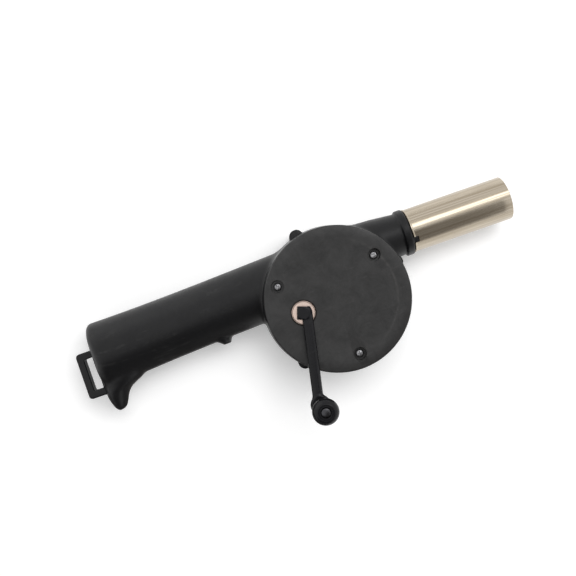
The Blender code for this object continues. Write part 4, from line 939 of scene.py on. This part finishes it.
def new_material(name, metallic=0.0, specular=0.5):
    material = bpy.data.materials.new(name)
    material.use_nodes = True
    tree = material.node_tree
    shader = tree.nodes["Principled BSDF"]
    shader.inputs["Metallic"].default_value = metallic
    shader.inputs["Specular IOR Level"].default_value = specular
    return material, tree, shader


def blend_colours(tree, factor, first, second):
    mix = add(tree, "ShaderNodeMix", {"Factor": factor}, data_type="RGBA")
    for socket, colour in ((mix.inputs[6], first), (mix.inputs[7], second)):
        if isinstance(colour, bpy.types.NodeSocket):
            tree.links.new(colour, socket)
        else:
            socket.default_value = (*colour, 1)
    return mix.outputs[2]


def dent(tree, shader, height, distance):
    bump = add(tree, "ShaderNodeBump", {"Height": height, "Distance": distance})
    tree.links.new(bump.outputs["Normal"], shader.inputs["Normal"])


def plastic(name, dark, pale, rubbed_and_highlight, rough, polished, grain_scale, depth, patch_scale=60.0,
            specular=0.5, painted_ring=False):
    """Moulded plastic: two tones that drift into each other, rubbed patches and scratches, and
    where asked a painted highlight ring in the rubbed colour.
    """
    material, tree, shader = new_material(name, specular=specular)
    grain = add(tree, "ShaderNodeGroup", node_tree=GRAIN)
    grain.inputs["Grain Scale"].default_value = grain_scale
    marks = add(tree, "ShaderNodeGroup", node_tree=MARKS)
    marks.inputs["Patch Scale"].default_value = patch_scale
    tone = blend_colours(tree, grain.outputs["Mottle"], dark, pale)
    wear_and_sheen = marks.outputs["Scratch"]
    # A painted highlight ring joins the scratches and takes their rubbed colour.
    if painted_ring:
        painted_highlight = add(tree, "ShaderNodeGroup", node_tree=PAINTED_RING_GROUP)
        wear_and_sheen = maths(tree, "MAXIMUM", wear_and_sheen, painted_highlight.outputs["Ring"])
    colour = blend_colours(tree, wear_and_sheen, tone, rubbed_and_highlight)
    tree.links.new(colour, shader.inputs["Base Color"])
    sheen = maths(tree, "ADD", grain.outputs["Mottle"], marks.outputs["Rub"])
    tree.links.new(ranged(tree, sheen, target=(rough, polished)), shader.inputs["Roughness"])
    dent(tree, shader, grain.outputs["Grain"], depth)
    return material


def bare_metal(name, clean, tarnished, smooth_level, rough_level, line_scale, depth):
    material, tree, shader = new_material(name, metallic=1.0)
    lines = add(tree, "ShaderNodeGroup", node_tree=LINES)
    lines.inputs["Line Scale"].default_value = line_scale
    wear_and_sheen = maths(tree, "MULTIPLY", lines.outputs["Lines"], lines.outputs["Tarnish"])
    streaks = ranged(tree, lines.outputs["Lines"], (0.35, 0.65))
    toned = maths(tree, "MAXIMUM", streaks, lines.outputs["Tarnish"])
    tree.links.new(blend_colours(tree, toned, clean, tarnished), shader.inputs["Base Color"])
    tree.links.new(ranged(tree, wear_and_sheen, target=(smooth_level, rough_level)),
                   shader.inputs["Roughness"])
    dent(tree, shader, lines.outputs["Lines"], depth)
    return material


def make_materials():
    return {
        "black_shell": plastic(
            "satin black shell", dark=(0.0048, 0.0048, 0.0055), pale=(0.0085, 0.0085, 0.0092),
            rubbed_and_highlight=(0.03, 0.03, 0.03), rough=0.44, polished=0.34, grain_scale=2600.0,
            depth=0.03 * MM, specular=0.28),
        # Besides its scuffs and scratches, the cover has a painted highlight: a lighter ring
        # towards +X.
        "black_cover": plastic(
            "scuffed black cover with painted highlight", dark=(0.005, 0.0049, 0.005), pale=(0.021, 0.0205, 0.0205),
            rubbed_and_highlight=(0.034, 0.033, 0.032), rough=0.42, polished=0.28, grain_scale=2200.0,
            depth=0.04 * MM, patch_scale=70.0, painted_ring=True),
        "black_crank": plastic(
            "glossy black crank", dark=(0.0035, 0.0035, 0.0045), pale=(0.006, 0.006, 0.0078),
            rubbed_and_highlight=(0.02, 0.02, 0.022), rough=0.3, polished=0.2, grain_scale=1500.0,
            depth=0.012 * MM, patch_scale=120.0, specular=0.24),
        "plated_tube": bare_metal(
            "drawn nickel tube", clean=(0.55, 0.49, 0.4), tarnished=(0.38, 0.32, 0.24),
            smooth_level=0.2, rough_level=0.34, line_scale=900.0, depth=0.02 * MM),
        "steel": bare_metal(
            "zinc-plated steel", clean=(0.46, 0.46, 0.47), tarnished=(0.26, 0.26, 0.27),
            smooth_level=0.28, rough_level=0.45, line_scale=1500.0, depth=0.01 * MM),
        "dark_steel": bare_metal(
            "blackened steel", clean=(0.05, 0.05, 0.056), tarnished=(0.08, 0.08, 0.085),
            smooth_level=0.22, rough_level=0.34, line_scale=1500.0, depth=0.01 * MM),
        "bronze": bare_metal(
            "sintered bronze", clean=(0.82, 0.63, 0.54), tarnished=(0.66, 0.55, 0.49),
            smooth_level=0.24, rough_level=0.4, line_scale=2200.0, depth=0.012 * MM),
        "white_gear": plastic(
            "natural nylon", dark=(0.78, 0.77, 0.7), pale=(0.84, 0.83, 0.77),
            rubbed_and_highlight=(0.7, 0.68, 0.62), rough=0.5, polished=0.4, grain_scale=1800.0,
            depth=0.02 * MM),
        "black_fan": plastic(
            "fan black", dark=(0.022, 0.022, 0.025), pale=(0.03, 0.03, 0.034),
            rubbed_and_highlight=(0.07, 0.07, 0.07), rough=0.55, polished=0.42, grain_scale=2000.0,
            depth=0.03 * MM, specular=0.35),
    }


MATERIALS = make_materials()


def dress(piece, slot, body, *nodes):
    """Give a piece its material, hang it on its body and let it stand for CAD nodes."""
    piece.data.materials.clear()
    piece.data.materials.append(MATERIALS[slot])
    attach(piece, body)
    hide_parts(*nodes)
    return piece


def dress_nodes():
    """Inner pieces keep their CAD shape and get their finish."""
    slots = {row["node"]: row["material_slot"] for row in frame["record"]["subparts"]}
    for name, node in frame["nodes"].items():
        node.data.materials.clear()
        node.data.materials.append(MATERIALS[slots[name]])


def build_pieces():
    dress_nodes()
    back, front = shells()
    dress(back, "black_shell", "casing", "back_shell")
    dress(front, "black_shell", "casing", "front_shell")
    dress(cover(), "black_cover", "casing", "gear_cover")
    for i, (angle, radius, spin) in enumerate(COVER_SCREWS):
        screw = pan_screw(f"cover_head_{i + 1}", SCREW_R, COVER_SCREW_L)
        lay(screw, polar(radius, angle), COVER_SEAT_Z + GAP, spin)
        dress(screw, "steel", "casing", f"cover_screw_{i + 1}")
    for i, (place, seat) in enumerate(screw_places()):
        screw = pan_screw(f"shell_head_{i + 1}", SCREW_R, SHELL_SCREW_L)
        lay(screw, place, seat - GAP, SHELL_SCREW_SPIN * i, False)
        dress(screw, "steel", "casing", f"shell_screw_{i + 1}")
    dress(tube(), "plated_tube", "casing", "nozzle_tube")
    dress(bush(), "bronze", "casing", "crank_bush")
    dress(crank_arm(), "black_crank", "crank", "crank_arm")
    dress(knob_pin(), "dark_steel", "crank", "knob_pin")
    dress(knob(), "black_crank", "knob", "crank_knob")


# Stage, lamps and camera

def flat_card(name, corners, material):
    card = shape(name, corners, [(0, 1, 2, 3)])
    card.data.materials.append(material)
    return card


def seen_directly(tree):
    """1 for what the camera sees itself, in a reflection or through glass, else 0."""
    path = add(tree, "ShaderNodeLightPath")
    shown = maths(tree, "MAXIMUM", path.outputs["Is Camera Ray"], path.outputs["Is Glossy Ray"])
    return maths(tree, "MAXIMUM", shown, path.outputs["Is Transmission Ray"])


def empty_material(name):
    material = bpy.data.materials.new(name)
    material.use_nodes = True
    material.node_tree.nodes.clear()
    return material, material.node_tree


def shown_white(name, colour, level):
    """A matt pale surface that takes shadows, and that the camera sees as plain white."""
    material, tree = empty_material(name)
    matt = add(tree, "ShaderNodeBsdfDiffuse", {"Color": (*colour, 1)})
    glow = add(tree, "ShaderNodeEmission", {
        "Color": (1, 1, 1, 1), "Strength": maths(tree, "MULTIPLY", seen_directly(tree), level)})
    both = add(tree, "ShaderNodeAddShader", {0: matt.outputs["BSDF"], 1: glow.outputs["Emission"]})
    add(tree, "ShaderNodeOutputMaterial", {"Surface": both.outputs["Shader"]})
    return material


def glow_card(name, colour):
    material, tree = empty_material(name)
    glow = add(tree, "ShaderNodeEmission", {"Color": (*colour, 1), "Strength": 1.0})
    add(tree, "ShaderNodeOutputMaterial", {"Surface": glow.outputs["Emission"]})
    return material


def reflected_card(name, corners, colour):
    """A card that only reflections show."""
    card = flat_card(name, corners, glow_card(name, colour))
    card.visible_camera = card.visible_diffuse = card.visible_shadow = False
    card.visible_transmission = False


def lamp(name, place, size, power, target):
    data = bpy.data.lights.new(name, "AREA")
    data.shape = "RECTANGLE"
    data.size, data.size_y = size
    data.energy = power
    light = bpy.data.objects.new(name, data)
    light.location = place
    facing = (Vector(target) - Vector(place)).to_track_quat("-Z", "Y")
    light.rotation_euler = facing.to_euler()
    bpy.context.scene.collection.objects.link(light)
    return light


def studio():
    flat_card("floor", [(x, y, FLOOR_Z) for x, y in square_outline(FLOOR_REACH)],
              shown_white("paper floor", FLOOR_TONE, FLOOR_SHOWN))
    world = bpy.data.worlds.new("studio")
    bpy.context.scene.world = world
    world.use_nodes = True
    tree = world.node_tree
    sky = tree.nodes["Background"]
    sky.inputs["Color"].default_value = (1, 1, 1, 1)
    tree.links.new(ranged(tree, seen_directly(tree), target=(WORLD_LIGHT, 1.0)),
                   sky.inputs["Strength"])
    lamp("softbox", SOFTBOX_PLACE, SOFTBOX_SIZE, SOFTBOX_WATTS, (SOFTBOX_PLACE[0], 0, 0))
    key = lamp("key", KEY_PLACE, KEY_SIZE, KEY_WATTS, (0, 0, 0))
    key.visible_glossy = False
    for name, (corners, colour) in MIRRORED_CARDS.items():
        reflected_card(name, corners, colour)


def make_camera():
    data = bpy.data.cameras.new("camera")
    data.sensor_width = SENSOR_MM
    data.lens = FOCAL_PIXELS / IMAGE_SIZE * SENSOR_MM
    data.clip_start = 0.01
    camera = bpy.data.objects.new("camera", data)
    camera.location = CAMERA_PLACE
    camera.rotation_euler = (0, 0, CAMERA_ROLL)
    bpy.context.scene.collection.objects.link(camera)
    bpy.context.scene.camera = camera


build_pieces()
studio()
make_camera()
bpy.context.scene.view_settings.view_transform = "Standard"
